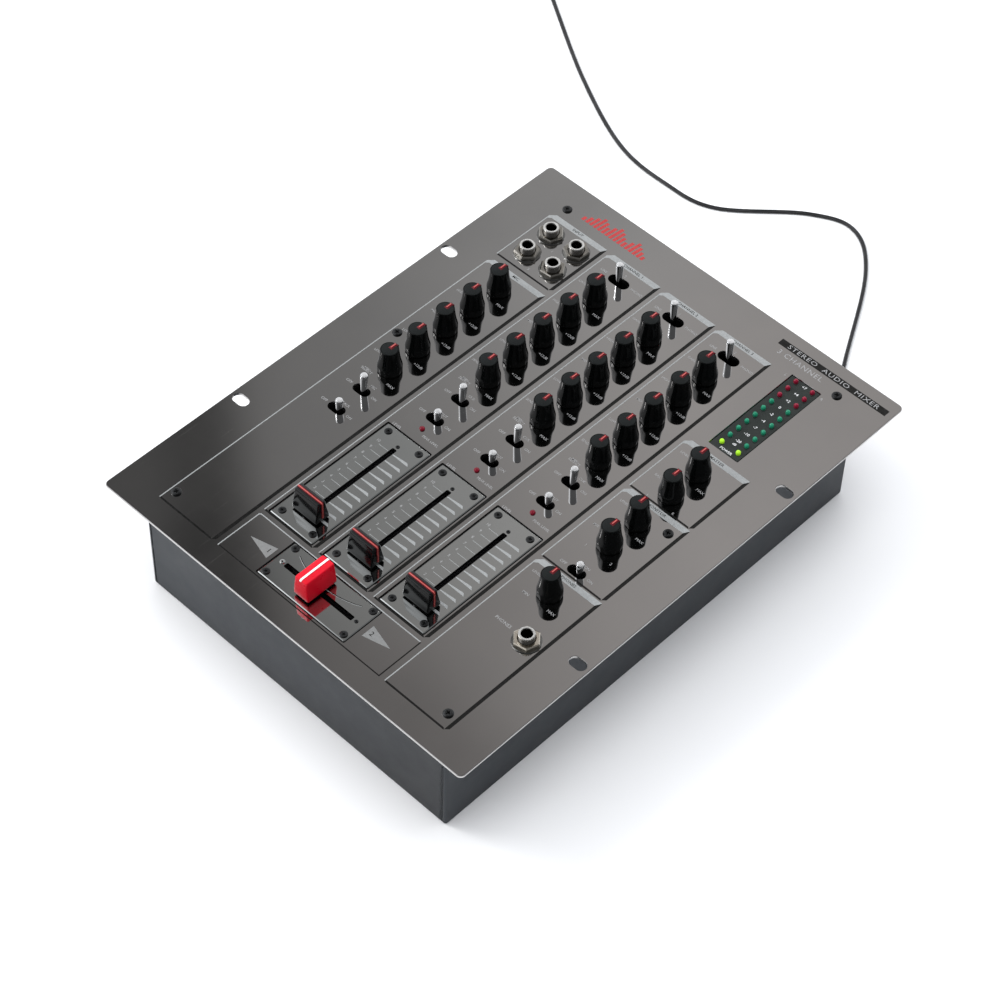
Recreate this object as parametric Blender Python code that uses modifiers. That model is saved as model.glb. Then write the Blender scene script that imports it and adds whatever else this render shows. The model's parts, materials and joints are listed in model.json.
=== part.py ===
"""Rack-ear DJ mixer: three channels, a microphone strip, a master strip and a crossfader.

Frame: metres, +Z up. The origin lies under the face panel's centre, level with the underside of the
steel case. +X runs to the right-hand rack ear and +Y to the rear, so the crossfader is at -Y and
the sockets and the cord are at +Y. All sizes below are in millimetres.
"""

import math

import bmesh
import bpy
from mathutils import Matrix, Vector

MODEL = "dj_mixer"
MM = 0.001
GAP = 0.3  # clearance between neighbouring pieces
SINK = 0.5  # how far a joined solid is let into the one below it

# ---------------------------------------------------------------- panel and case
PANEL_WIDTH, PANEL_DEPTH, PANEL_THICKNESS, PANEL_CORNER = 274.0, 354.0, 2.0, 3.3
PANEL_TOP = 77.4
PANEL_UNDER = PANEL_TOP - PANEL_THICKNESS
CASE_X, CASE_FRONT, CASE_REAR = 116.0, -166.0, 159.0
CASE_TOP = PANEL_UNDER - GAP  # also the top of the parts fitted close under the panel
SHEET = 1.2
BOARD_THICKNESS = 1.6

# ---------------------------------------------------------------- knobs
CHANNEL_X = (-42.5, 0.0, 42.5)
MIC_X, MASTER_X = -87.0, 87.3

# (name, y) down each strip
CHANNEL_KNOBS = (("gain", 114.5), ("treble", 92.5), ("middle", 70.4), ("bass", 48.4),
                 ("send", 26.3))
MIC_KNOBS = (("gain", 80.8), ("treble", 58.7), ("middle", 36.8), ("bass", 14.6), ("level", -7.5))
MASTER_KNOBS = (("master_level", 58.7), ("balance", 36.5), ("booth_level", 9.5),
                ("cue_mix", -13.0), ("phones_level", -59.6))

# every knob: (name, x, y)
KNOBS = [(f"channel_{n}_{what}_knob", x, y)
         for n, x in enumerate(CHANNEL_X, 1) for what, y in CHANNEL_KNOBS]
KNOBS += [(f"mic_{what}_knob", MIC_X, y) for what, y in MIC_KNOBS]
KNOBS += [(f"{what}_knob", MASTER_X, y) for what, y in MASTER_KNOBS]
SHAFT_RADIUS, SHAFT_HOLE_RADIUS = 3.0, 3.8

# ---------------------------------------------------------------- switches
PIVOT_DEPTH = 23.0  # lever pivot below the panel's top face
PIVOT_Z = PANEL_TOP - PIVOT_DEPTH
LEVER_TALL, LEVER_SHORT, LEVER_THROW = 14.6, 9.1, 2.5
SLOT_LONG, SLOT_SHORT = (14.2, 7.1), (11.6, 6.4)

# kinds of switch: (lever height above the panel, panel slot, sideways throw of the tip)
THREE_WAY = (LEVER_TALL, SLOT_LONG, 0.0)
TWO_WAY_TALL = (LEVER_TALL, SLOT_SHORT, LEVER_THROW)
TWO_WAY_SHORT = (LEVER_SHORT, SLOT_SHORT, LEVER_THROW)

# (name, y, kind) down each channel
CHANNEL_SWITCHES = (("input", 134.9, THREE_WAY), ("cue", 3.9, TWO_WAY_TALL),
                    ("mute", -16.0, TWO_WAY_SHORT))

# every switch: (name, x, y, kind)
SWITCHES = [(f"channel_{n}_{what}_lever", x, y, kind)
            for n, x in enumerate(CHANNEL_X, 1) for what, y, kind in CHANNEL_SWITCHES]
SWITCHES += [("mic_on_lever", MIC_X, -29.7, TWO_WAY_TALL),
             ("talkover_lever", MIC_X, -49.1, TWO_WAY_SHORT),
             ("monitor_lever", MASTER_X, -38.8, TWO_WAY_SHORT)]

# ---------------------------------------------------------------- faders
FADER_PLATE = (32.9, 89.7)  # along x, y
FADER_PLATE_Y = -80.95
FADER_SLOT_Y = (-113.4, -47.2)
FADER_REST_Y = -111.0
CROSS_PLATE = (66.2, 27.4)
CROSS_Y = -145.3
CROSS_SLOT_X = 25.8  # half the crossfader slot's length
CROSS_REST_X = -2.6
FADER_SLOT_WIDTH = 3.2

# ---------------------------------------------------------------- jacks, meter, rear sockets and cord
INPUT_JACKS = ((-96.4, 134.4), (-76.0, 134.4), (-96.3, 114.2), (-76.0, 114.2))
PHONES_JACK = (100.5, -91.1)
METER_X, METER_Y = (76.0, 97.2), (80.1, 151.7)

SOCKET_ROWS, SOCKET_COLUMNS, SOCKET_PITCH = (30.0, 50.0), 8, 17.0
SOCKET_X0 = -80.0
SOCKETS = [(SOCKET_X0 + i * SOCKET_PITCH, z) for z in SOCKET_ROWS for i in range(SOCKET_COLUMNS)]
CORD_EXIT_X, CORD_EXIT_Z = 92.0, 24.0


# ---------------------------------------------------------------- scene
def clear_scene():
    for obj in list(bpy.data.objects):
        bpy.data.objects.remove(obj, do_unlink=True)


def collection(name):
    coll = bpy.data.collections.new(name)
    bpy.context.scene.collection.children.link(coll)
    return coll


clear_scene()
PARTS = collection(MODEL)
CUTTERS = collection(MODEL + "_cutters")  # holds helper solids while a piece is being built


# ---------------------------------------------------------------- materials
def finish(name, color, roughness, metallic=0.0):
    mat = bpy.data.materials.new(name)
    mat.use_nodes = True
    shader = mat.node_tree.nodes["Principled BSDF"]
    shader.inputs["Base Color"].default_value = (*color, 1.0)
    shader.inputs["Roughness"].default_value = roughness
    shader.inputs["Metallic"].default_value = metallic
    mat.diffuse_color = (*color, 1.0)
    return mat


BLACK_CHROME = finish("black_chrome", color=(0.23, 0.215, 0.21), roughness=0.10, metallic=1.0)
PLATE_METAL = finish("plate_metal", color=(0.26, 0.27, 0.265), roughness=0.16, metallic=1.0)
CASE_PAINT = finish("case_paint", color=(0.045, 0.052, 0.06), roughness=0.45, metallic=0.3)
ZINC = finish("zinc_sheet", color=(0.55, 0.56, 0.58), roughness=0.35, metallic=1.0)
KNOB_PLASTIC = finish("knob_plastic", color=(0.012, 0.012, 0.013), roughness=0.18)
CAP_PLASTIC = finish("cap_plastic", color=(0.010, 0.010, 0.011), roughness=0.12)
CROSS_PLASTIC = finish("red_plastic", color=(0.62, 0.006, 0.022), roughness=0.20)
LEVER_CHROME = finish("lever_chrome", color=(0.80, 0.81, 0.82), roughness=0.08, metallic=1.0)
NICKEL = finish("nickel", color=(0.62, 0.59, 0.53), roughness=0.18, metallic=1.0)
BOARD_GREEN = finish("circuit_board", color=(0.02, 0.13, 0.05), roughness=0.40)
METER_WINDOW = finish("meter_window", color=(0.008, 0.009, 0.009), roughness=0.08)
SOCKET_PLASTIC = finish("socket_plastic", color=(0.03, 0.03, 0.032), roughness=0.40)
CORD_PVC = finish("cord_pvc", color=(0.015, 0.015, 0.016), roughness=0.35)


# ---------------------------------------------------------------- object helpers
def place(obj, at, rot=(0, 0, 0)):
    obj.location = Vector(at) * MM
    obj.rotation_euler = rot


def new_object(name, data, coll, at=(0, 0, 0), rot=(0, 0, 0)):
    obj = bpy.data.objects.new(name, data)
    coll.objects.link(obj)
    place(obj, at, rot)
    return obj


def mesh_object(name, mesh, mat=None, at=(0, 0, 0), rot=(0, 0, 0)):
    """An object with one material; one without a material is a helper for a Boolean."""
    if mat is None:
        return new_object(name, mesh, CUTTERS, at, rot)
    mesh.materials.append(mat)
    return new_object(name, mesh, PARTS, at, rot)


def bmesh_object(name, bm, mat=None, at=(0, 0, 0), rot=(0, 0, 0)):
    mesh = bpy.data.meshes.new(name)
    bm.to_mesh(mesh)
    bm.free()
    return mesh_object(name, mesh, mat, at, rot)


def evaluated_mesh(obj):
    bpy.context.view_layer.update()
    depsgraph = bpy.context.evaluated_depsgraph_get()
    return bpy.data.meshes.new_from_object(obj.evaluated_get(depsgraph))


def freeze(obj):
    """Applies an object's modifiers to its mesh and keeps only its own material."""
    mesh = evaluated_mesh(obj)
    mesh.name = obj.name
    mats = list(obj.data.materials)
    obj.modifiers.clear()
    obj.data = mesh
    mesh.materials.clear()
    for mat in mats:
        mesh.materials.append(mat)
    for poly in mesh.polygons:
        poly.material_index = 0


def weld(mesh):
    bm = bmesh.new()
    bm.from_mesh(mesh)
    bmesh.ops.remove_doubles(bm, verts=bm.verts, dist=1e-6)
    bmesh.ops.recalc_face_normals(bm, faces=bm.faces)
    bm.to_mesh(mesh)
    bm.free()


def smooth(mesh):
    mesh.shade_smooth()
    mesh.set_sharp_from_angle(angle=math.radians(35.0))


def detach_mesh(obj):
    """Drops an object and hands back its mesh, to be shared by several pieces."""
    mesh = obj.data
    bpy.data.objects.remove(obj)
    return mesh


# ---------------------------------------------------------------- flat outlines
def rounded_rect(cx, cy, width, height, radius, per_corner):
    pts = []
    for sx, sy, start in ((1, 1, 0), (-1, 1, 90), (-1, -1, 180), (1, -1, 270)):
        for i in range(per_corner + 1):
            angle = math.radians(start + 90.0 * i / per_corner)
            pts.append((cx + sx * (width / 2 - radius) + radius * math.cos(angle),
                        cy + sy * (height / 2 - radius) + radius * math.sin(angle)))
    return pts


def rect(x0, y0, x1, y1):
    return [(x0, y0), (x1, y0), (x1, y1), (x0, y1)]


def circle(cx, cy, radius, count):
    angles = [2 * math.pi * i / count for i in range(count)]
    return [(cx + radius * math.cos(a), cy + radius * math.sin(a)) for a in angles]


def oval(cx, cy, length, height, per_end=5):
    """A slot with round ends that runs along X."""
    radius = height / 2
    pts = []
    for sx, start in ((1, -90), (-1, 90)):
        for i in range(per_end + 1):
            angle = math.radians(start + 180.0 * i / per_end)
            pts.append((cx + sx * (length / 2 - radius) + radius * math.cos(angle),
                        cy + radius * math.sin(angle)))
    return pts


# ---------------------------------------------------------------- curve solids
def add_path(curve, pts, closed):
    """Adds straight runs through (x, y, z) points to a curve."""
    spline = curve.splines.new("POLY")
    spline.points.add(len(pts) - 1)
    for point, (x, y, z) in zip(spline.points, pts):
        point.co = (x * MM, y * MM, z * MM, 1.0)
    spline.use_cyclic_u = closed


def curve_to_mesh(name, curve, mat, at=(0, 0, 0)):
    guide = new_object(name + "_outline", curve, CUTTERS)
    mesh = evaluated_mesh(guide)
    bpy.data.objects.remove(guide)
    mesh.name = name
    mesh.materials.clear()
    weld(mesh)
    return mesh_object(name, mesh, mat, at)


def plate(name, outlines, z0, z1, mat):
    """A flat sheet from an outer outline and its holes, with its origin at mid thickness."""
    curve = bpy.data.curves.new(name, "CURVE")
    curve.dimensions = "2D"
    curve.fill_mode = "BOTH"
    curve.extrude = (z1 - z0) / 2 * MM
    for outline in outlines:
        add_path(curve, [(x, y, 0.0) for x, y in outline], closed=True)
    return curve_to_mesh(name, curve, mat, (0, 0, (z0 + z1) / 2))


# ---------------------------------------------------------------- solid helpers
def add_block(bm, low, high):
    size = Vector(high) - Vector(low)
    mid = (Vector(high) + Vector(low)) / 2
    matrix = Matrix.Translation(mid * MM) @ Matrix.Diagonal((*(size * MM), 1.0))
    bmesh.ops.create_cube(bm, size=1.0, matrix=matrix)


def add_rod(bm, centre, radius, length, segments, tilt=0.0):
    """Adds a cylinder that stands along Z, tilted about X."""
    matrix = Matrix.Translation(Vector(centre) * MM) @ Matrix.Rotation(tilt, 4, "X")
    bmesh.ops.create_cone(bm, cap_ends=True, segments=segments, radius1=radius * MM,
                          radius2=radius * MM, depth=length * MM, matrix=matrix)


def boxes(name, spans, mat=None):
    """One object holding separate blocks, each given by its low and high corner."""
    bm = bmesh.new()
    for low, high in spans:
        add_block(bm, low, high)
    return bmesh_object(name, bm, mat)


def posts(name, rods, segments):
    """One helper holding separate upright cylinders: (x, y, z0, z1, radius)."""
    bm = bmesh.new()
    for x, y, z0, z1, radius in rods:
        add_rod(bm, (x, y, (z0 + z1) / 2), radius, z1 - z0, segments)
    return bmesh_object(name, bm)


def turned(name, profile, steps, mat=None, at=(0, 0, 0), rot=(0, 0, 0)):
    """A piece turned about its own Z from (radius, height) points down its outer side."""
    bm = bmesh.new()
    verts = [bm.verts.new((radius * MM, 0.0, z * MM)) for radius, z in profile]
    for upper, lower in zip(verts, verts[1:]):
        bm.edges.new((upper, lower))
    obj = bmesh_object(name, bm, mat, at, rot)
    screw = obj.modifiers.new("turn", "SCREW")
    screw.steps = steps
    screw.render_steps = steps
    screw.use_merge_vertices = True
    screw.merge_threshold = 0.00001
    freeze(obj)
    weld(obj.data)
    return obj


def combine(obj, other, operation):
    """Applies one exact Boolean, tidies the mesh and drops the other solid."""
    mod = obj.modifiers.new(operation.lower(), "BOOLEAN")
    mod.operation = operation
    mod.solver = "EXACT"
    mod.object = other
    freeze(obj)
    bm = bmesh.new()
    bm.from_mesh(obj.data)
    bmesh.ops.remove_doubles(bm, verts=bm.verts, dist=1e-7)
    bmesh.ops.dissolve_limit(bm, angle_limit=math.radians(0.05), verts=bm.verts, edges=bm.edges)
    bm.to_mesh(obj.data)
    bm.free()
    bpy.data.objects.remove(other)


def join(obj, other):
    combine(obj, other, "UNION")


def cut(obj, other):
    combine(obj, other, "DIFFERENCE")


# ---------------------------------------------------------------- face panel
EAR_SLOT_X, EAR_SLOT_Y = 129.4, 82.55
EAR_SLOT_LENGTH, EAR_SLOT_HEIGHT = 10.8, 6.9
EAR_LINE_X = CASE_X + 2.0  # where the rack ears begin
PLATE_GAP = 0.8  # between a fader plate and its opening
OPENING_CORNER = 0.6
JACK_HOLE_RADIUS = 5.1


def plate_opening(x, y, size):
    width, height = size
    return rounded_rect(x, y, width + 2 * PLATE_GAP, height + 2 * PLATE_GAP, OPENING_CORNER, 1)


def face_panel():
    outlines = [rounded_rect(0, 0, PANEL_WIDTH, PANEL_DEPTH, PANEL_CORNER, 4)]
    for sx in (-1, 1):
        for sy in (-1, 1):
            outlines.append(oval(sx * EAR_SLOT_X, sy * EAR_SLOT_Y,
                                 EAR_SLOT_LENGTH, EAR_SLOT_HEIGHT, 6))
    for x in CHANNEL_X:
        outlines.append(plate_opening(x, FADER_PLATE_Y, FADER_PLATE))
    outlines.append(plate_opening(0, CROSS_Y, CROSS_PLATE))
    for _, x, y in KNOBS:
        outlines.append(circle(x, y, SHAFT_HOLE_RADIUS, 10))
    for _, x, y, (_, slot, _) in SWITCHES:
        outlines.append(oval(x, y, *slot))
    for x, y in INPUT_JACKS + (PHONES_JACK,):
        outlines.append(circle(x, y, JACK_HOLE_RADIUS, 14))
    outlines.append(rect(METER_X[0], METER_Y[0], METER_X[1], METER_Y[1]))
    obj = plate("face_panel", outlines, PANEL_UNDER, PANEL_TOP, BLACK_CHROME)

    # an edge line marks off each rack ear as its own field of the sheet
    bm = bmesh.new()
    bm.from_mesh(obj.data)
    for sx in (-1, 1):
        geom = list(bm.verts) + list(bm.edges) + list(bm.faces)
        bmesh.ops.bisect_plane(bm, geom=geom, dist=1e-7, plane_co=(sx * EAR_LINE_X * MM, 0, 0),
                               plane_no=(1, 0, 0))
    bm.to_mesh(obj.data)
    bm.free()


# ---------------------------------------------------------------- case
BEND_RADIUS = 1.6
TAB_X, TAB_Y = 97.0, (150.6, 15.3, -153.0)  # inner ends and centres of the screw tabs
TAB_HALF_WIDTH = 6.5
TAB_DROPS = (2.4, 0.9)  # tab faces below the case's top
SOCKET_HOLE_RADIUS, CORD_HOLE_RADIUS = 4.8, 3.9


def chassis_shell():
    """Front, sides and bottom bent from one sheet, open at top and rear, with six screw tabs."""
    bm = bmesh.new()
    add_block(bm, (-CASE_X, CASE_FRONT, 0.0), (CASE_X, CASE_REAR, CASE_TOP))
    open_faces = [f for f in bm.faces if f.normal.z > 0.9 or f.normal.y > 0.9]
    bmesh.ops.delete(bm, geom=open_faces, context="FACES")
    bends = [e for e in bm.edges if len(e.link_faces) == 2]
    bmesh.ops.bevel(bm, geom=bends, offset=BEND_RADIUS * MM, segments=2, profile=0.5,
                    affect="EDGES")
    obj = bmesh_object("chassis_shell", bm, CASE_PAINT)
    wall = obj.modifiers.new("sheet", "SOLIDIFY")
    wall.thickness = SHEET * MM
    wall.offset = -1.0
    wall.use_even_offset = True
    freeze(obj)
    weld(obj.data)

    z0, z1 = (CASE_TOP - drop for drop in TAB_DROPS)
    tabs = []
    for side in (-1, 1):
        x0, x1 = sorted((side * TAB_X, side * (CASE_X - SHEET / 2)))
        for y in TAB_Y:
            tabs.append(((x0, y - TAB_HALF_WIDTH, z0), (x1, y + TAB_HALF_WIDTH, z1)))
    join(obj, boxes("tabs", tabs))


def rear_panel():
    """The back sheet, let in between the case's sides, pierced for the sockets and the cord."""
    half_width = CASE_X - SHEET - GAP
    outlines = [rect(-half_width, SHEET + GAP, half_width, CASE_TOP)]
    outlines += [circle(x, z, SOCKET_HOLE_RADIUS, 10) for x, z in SOCKETS]
    outlines.append(circle(CORD_EXIT_X, CORD_EXIT_Z, CORD_HOLE_RADIUS, 12))
    obj = plate("rear_panel", outlines, -SHEET / 2, SHEET / 2, CASE_PAINT)
    place(obj, (0, CASE_REAR - SHEET / 2, 0), (math.pi / 2, 0, 0))


# ---------------------------------------------------------------- fader plates and bearer
PLATE_CORNER = 0.5
FRAME_X, FRAME_Y = 62.5, (-161.5, -34.0)
FRAME_SLOT_HALF_WIDTH = 5.5
FRAME_FADER_HALF_LENGTH, FRAME_CROSS_HALF_LENGTH = 41.0, 34.0


def slotted_rect(cx, cy, half_x, half_y):
    return rect(cx - half_x, cy - half_y, cx + half_x, cy + half_y)


def sub_frame():
    """The steel bearer under the four fader plates."""
    outlines = [rect(-FRAME_X, FRAME_Y[0], FRAME_X, FRAME_Y[1])]
    for x in CHANNEL_X:
        outlines.append(slotted_rect(x, FADER_PLATE_Y,
                                     FRAME_SLOT_HALF_WIDTH, FRAME_FADER_HALF_LENGTH))
    outlines.append(slotted_rect(0, CROSS_Y, FRAME_CROSS_HALF_LENGTH, FRAME_SLOT_HALF_WIDTH))
    plate("sub_frame", outlines, CASE_TOP - SHEET, CASE_TOP, ZINC)


def fader_plate(name, x, y, size, slot):
    outlines = [rounded_rect(x, y, *size, PLATE_CORNER, 1), slot]
    plate(name, outlines, PANEL_UNDER, PANEL_TOP, PLATE_METAL)


def fader_plates():
    half = FADER_SLOT_WIDTH / 2
    for n, x in enumerate(CHANNEL_X, 1):
        slot = rect(x - half, FADER_SLOT_Y[0], x + half, FADER_SLOT_Y[1])
        fader_plate(f"fader_plate_{n}", x, FADER_PLATE_Y, FADER_PLATE, slot)
    slot = slotted_rect(0, CROSS_Y, CROSS_SLOT_X, half)
    fader_plate("crossfader_plate", 0, CROSS_Y, CROSS_PLATE, slot)


# ---------------------------------------------------------------- slide potentiometers
SLIDE_HALF_WIDTH, SLIDE_HEIGHT = 4.9, 12.0
SLIDE_CHANNEL_HALF_WIDTH, SLIDE_CHANNEL_DEPTH = 1.9, 9.0
FADER_UNIT_LENGTH, CROSS_UNIT_LENGTH = 80.0, 66.0


def slide_body(name, length, travel, at, turn=0.0):
    """A slide potentiometer's metal case with the open channel its carriage runs in."""
    obj = boxes(name, [((-SLIDE_HALF_WIDTH, -length / 2, CASE_TOP - SLIDE_HEIGHT),
                        (SLIDE_HALF_WIDTH, length / 2, CASE_TOP))], ZINC)
    half = SLIDE_CHANNEL_HALF_WIDTH
    cut(obj, boxes("channel", [((-half, -travel / 2, CASE_TOP - SLIDE_CHANNEL_DEPTH),
                                (half, travel / 2, CASE_TOP + 2.0))]))
    place(obj, (*at, 0.0), (0, 0, turn))


def fader_units():
    front, rear = FADER_SLOT_Y
    for n, x in enumerate(CHANNEL_X, 1):
        slide_body(f"channel_fader_{n}", FADER_UNIT_LENGTH, rear - front, (x, (front + rear) / 2))
    slide_body("crossfader_unit", CROSS_UNIT_LENGTH, 2 * CROSS_SLOT_X, (0.0, CROSS_Y), math.pi / 2)


# ---------------------------------------------------------------- fader caps
# (width at the foot, depth at the foot, depth at the ridge, top above the panel)
FADER_CAP = (19.4, 10.2, 6.0, 15.2)
CROSS_CAP = (21.4, 11.4, 8.8, 16.4)
CAP_LIFT = 1.2  # foot above the panel
CAP_TAPER = 0.8  # loss of width from foot to ridge
CAP_BEVEL = 0.7
TANG_HALF_X, TANG_HALF_Y = 0.9, 1.7
TANG_REACH, TANG_INTO_CAP = 7.5, 1.5


def fader_cap(name, size, mat, at, turn=0.0):
    """A tapered finger cap on a flat metal tang that runs down through the plate's slot."""
    width, base, ridge, height = size
    foot = PANEL_TOP + CAP_LIFT
    bm = bmesh.new()
    bmesh.ops.create_cube(bm, size=1.0)
    for vert in bm.verts:
        if vert.co.z > 0:
            across, along, z = width - CAP_TAPER, ridge, PANEL_TOP + height
        else:
            across, along, z = width, base, foot
        vert.co = Vector((vert.co.x * across, vert.co.y * along, z)) * MM
    bmesh.ops.bevel(bm, geom=list(bm.edges), offset=CAP_BEVEL * MM, segments=1, affect="EDGES")
    obj = bmesh_object(name, bm, mat)
    join(obj, boxes("tang", [((-TANG_HALF_X, -TANG_HALF_Y, CASE_TOP - TANG_REACH),
                              (TANG_HALF_X, TANG_HALF_Y, foot + TANG_INTO_CAP))]))
    place(obj, (*at, 0.0), (0, 0, turn))


def fader_caps():
    for n, x in enumerate(CHANNEL_X, 1):
        fader_cap(f"fader_cap_{n}", FADER_CAP, CAP_PLASTIC, (x, FADER_REST_Y))
    fader_cap("crossfader_cap", CROSS_CAP, CROSS_PLASTIC, (CROSS_REST_X, CROSS_Y), math.pi / 2)


# ---------------------------------------------------------------- knobs
KNOB_HEIGHT, KNOB_LIFT = 17.7, 0.4
KNOB_TOP_RADIUS, KNOB_SKIRT_RADIUS = 5.3, 7.45

# (radius, height above the panel): top face, straight head, flared skirt, then the shaft
KNOB_PROFILE = (
    (0.0, KNOB_HEIGHT), (KNOB_TOP_RADIUS - 0.3, KNOB_HEIGHT), (KNOB_TOP_RADIUS, KNOB_HEIGHT - 0.5),
    (KNOB_TOP_RADIUS + 0.2, 11.0), (KNOB_SKIRT_RADIUS, 4.8), (KNOB_SKIRT_RADIUS, KNOB_LIFT),
    (SHAFT_RADIUS, KNOB_LIFT), (SHAFT_RADIUS, -22.6), (0.0, -22.6))


def knobs():
    mesh = detach_mesh(turned("knob_master", KNOB_PROFILE, 12, KNOB_PLASTIC))
    smooth(mesh)
    for name, x, y in KNOBS:
        new_object(name, mesh, PARTS, (x, y, PANEL_TOP))


# ---------------------------------------------------------------- switch levers
LEVER_RADIUS, LEVER_FOOT_RADIUS, LEVER_FOOT_Z = 2.4, 1.5, -2.4
LEVER_EDGE = 0.5
PIN_RADIUS, PIN_LENGTH = 1.0, 7.4


def lever_mesh(height):
    """A chrome pin on a thinner foot, with a cross pin along Y that it rocks on at its origin."""
    tip = PIVOT_DEPTH + height
    profile = [(0.0, tip), (LEVER_RADIUS - LEVER_EDGE, tip), (LEVER_RADIUS, tip - LEVER_EDGE),
               (LEVER_RADIUS, PIVOT_DEPTH - 4.0), (LEVER_FOOT_RADIUS, PIVOT_DEPTH - 8.0),
               (LEVER_FOOT_RADIUS, LEVER_FOOT_Z), (0.0, LEVER_FOOT_Z)]
    obj = turned("lever", profile, 8, LEVER_CHROME)
    bm = bmesh.new()
    add_rod(bm, (0, 0, 0), PIN_RADIUS, PIN_LENGTH, segments=6, tilt=math.pi / 2)
    join(obj, bmesh_object("pin", bm))
    mesh = detach_mesh(obj)
    smooth(mesh)
    return mesh


def levers():
    meshes = {height: lever_mesh(height) for height in (LEVER_TALL, LEVER_SHORT)}
    for name, x, y, (height, _, throw) in SWITCHES:
        lean = math.asin(throw / (PIVOT_DEPTH + height))
        new_object(name, meshes[height], PARTS, (x, y, PIVOT_Z), (0.0, lean, 0.0))


# ---------------------------------------------------------------- control board
BOARD_Z = 50.4  # underside
BOARD_TOP = BOARD_Z + BOARD_THICKNESS
BOARD_OUTLINE = (
    (-99, -58), (-62, -58), (-62, -33), (62, -33), (62, -69), (99, -69),
    (99, 70), (62, 70), (62, 144), (-62, 144), (-62, 92), (-99, 92))
POT_HALF_X, POT_HALF_Y, POT_HEIGHT = 5.5, 6.0, 7.0
SLEEVE_RADIUS, SLEEVE_TOP = 4.6, 12.0  # heights are above the board
BORE_RADIUS, BORE_FLOOR = SHAFT_RADIUS + 0.5, 2.0
SWITCH_HALF_X, SWITCH_HALF_Y, SWITCH_HEIGHT = 7.0, 5.5, 13.0
POCKET_HALF_X, POCKET_HALF_Y, POCKET_DROP = 4.6, 2.9, 3.4  # drops are below the pivot
GROOVE_HALF_X, GROOVE_HALF_Y, GROOVE_DROP = 1.3, 4.1, 1.4


def upright(x, y, half_x, half_y, z0, z1):
    """Low and high corner of a block centred on (x, y)."""
    return (x - half_x, y - half_y, z0), (x + half_x, y + half_y, z1)


def control_board():
    """The board under the panel: a potentiometer below each knob, a switch below each lever."""
    obj = plate("control_board", [BOARD_OUTLINE], BOARD_Z, BOARD_TOP, BOARD_GREEN)
    # the board's height goes into its mesh, so its origin is the model's
    obj.data.transform(Matrix.Translation(obj.location))
    obj.location = (0, 0, 0)

    top = BOARD_TOP
    bodies, sleeves, bores, pockets, grooves = [], [], [], [], []
    for _, x, y in KNOBS:
        bodies.append(upright(x, y, POT_HALF_X, POT_HALF_Y, top - SINK, top + POT_HEIGHT))
        sleeves.append((x, y, top + POT_HEIGHT - SINK, top + SLEEVE_TOP, SLEEVE_RADIUS))
        bores.append((x, y, top + BORE_FLOOR, top + SLEEVE_TOP + 1.0, BORE_RADIUS))
    for _, x, y, _ in SWITCHES:
        bodies.append(upright(x, y, SWITCH_HALF_X, SWITCH_HALF_Y, top - SINK, top + SWITCH_HEIGHT))
        pockets.append(upright(x, y, POCKET_HALF_X, POCKET_HALF_Y,
                               PIVOT_Z - POCKET_DROP, top + SWITCH_HEIGHT + 1.0))
        grooves.append(upright(x, y, GROOVE_HALF_X, GROOVE_HALF_Y,
                               PIVOT_Z - GROOVE_DROP, top + SWITCH_HEIGHT + 2.0))
    join(obj, boxes("bodies", bodies))
    join(obj, posts("sleeves", sleeves, segments=8))
    cut(obj, posts("bores", bores, segments=8))
    cut(obj, boxes("pockets", pockets))
    cut(obj, boxes("grooves", grooves))


# ---------------------------------------------------------------- panel jacks
JACK_RADIUS, JACK_BORE_RADIUS = 4.65, 3.25
JACK_TOP = PANEL_TOP + 7.0
JACK_BODY_HALF = 7.5
JACK_BORE_FLOOR = 3.0  # above the jack board
JACK_BOARD_Z = 44.0


def jack_solid(name, places, x0, y0, x1, y1):
    """Square jack bodies on a small board, each with a round neck and a plug bore."""
    top = JACK_BOARD_Z + BOARD_THICKNESS
    bodies, necks, bores = [], [], []
    for x, y in places:
        bodies.append(upright(x, y, JACK_BODY_HALF, JACK_BODY_HALF, top - SINK, CASE_TOP))
        necks.append((x, y, CASE_TOP - 1.0, JACK_TOP, JACK_RADIUS))
        bores.append((x, y, top + JACK_BORE_FLOOR, JACK_TOP + 2.0, JACK_BORE_RADIUS))
    obj = boxes(name, [((x0, y0, JACK_BOARD_Z), (x1, y1, top))], NICKEL)
    join(obj, boxes("bodies", bodies))
    join(obj, posts("necks", necks, segments=16))
    cut(obj, posts("bores", bores, segments=16))


def jacks():
    jack_solid("input_jack_board", INPUT_JACKS, -106.0, 104.5, -66.5, 144.0)
    x, y = PHONES_JACK
    jack_solid("phones_jack", (PHONES_JACK,), x - 9.0, y - 10.0, x + 9.0, y + 10.0)


# ---------------------------------------------------------------- level meter
METER_BOARD_Z = 62.0
METER_MARGIN_X, METER_MARGIN_Y = 2.0, 2.5  # board beyond the panel's cut-out


def led_meter():
    """The level meter: a board with a block whose dark window fills the panel's cut-out."""
    (x0, x1), (y0, y1) = METER_X, METER_Y
    top = METER_BOARD_Z + BOARD_THICKNESS
    obj = boxes("led_meter", [((x0 - METER_MARGIN_X, y0 - METER_MARGIN_Y, METER_BOARD_Z),
                               (x1 + METER_MARGIN_X, y1 + METER_MARGIN_Y, top))], METER_WINDOW)
    join(obj, boxes("block", [((x0 + GAP, y0 + GAP, top - SINK),
                               (x1 - GAP, y1 - GAP, PANEL_TOP - GAP))]))


# ---------------------------------------------------------------- power supply
SUPPLY_Z = 6.0  # underside of the board
FOOT_RADIUS, FOOT_X, FOOT_Y = 3.0, (30.0, 98.0), (88.0, 134.0)
CAN_RADIUS, CAN_HEIGHT, CAN_X, CAN_Y = 7.0, 24.0, 34.0, (97.0, 114.0)


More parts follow.
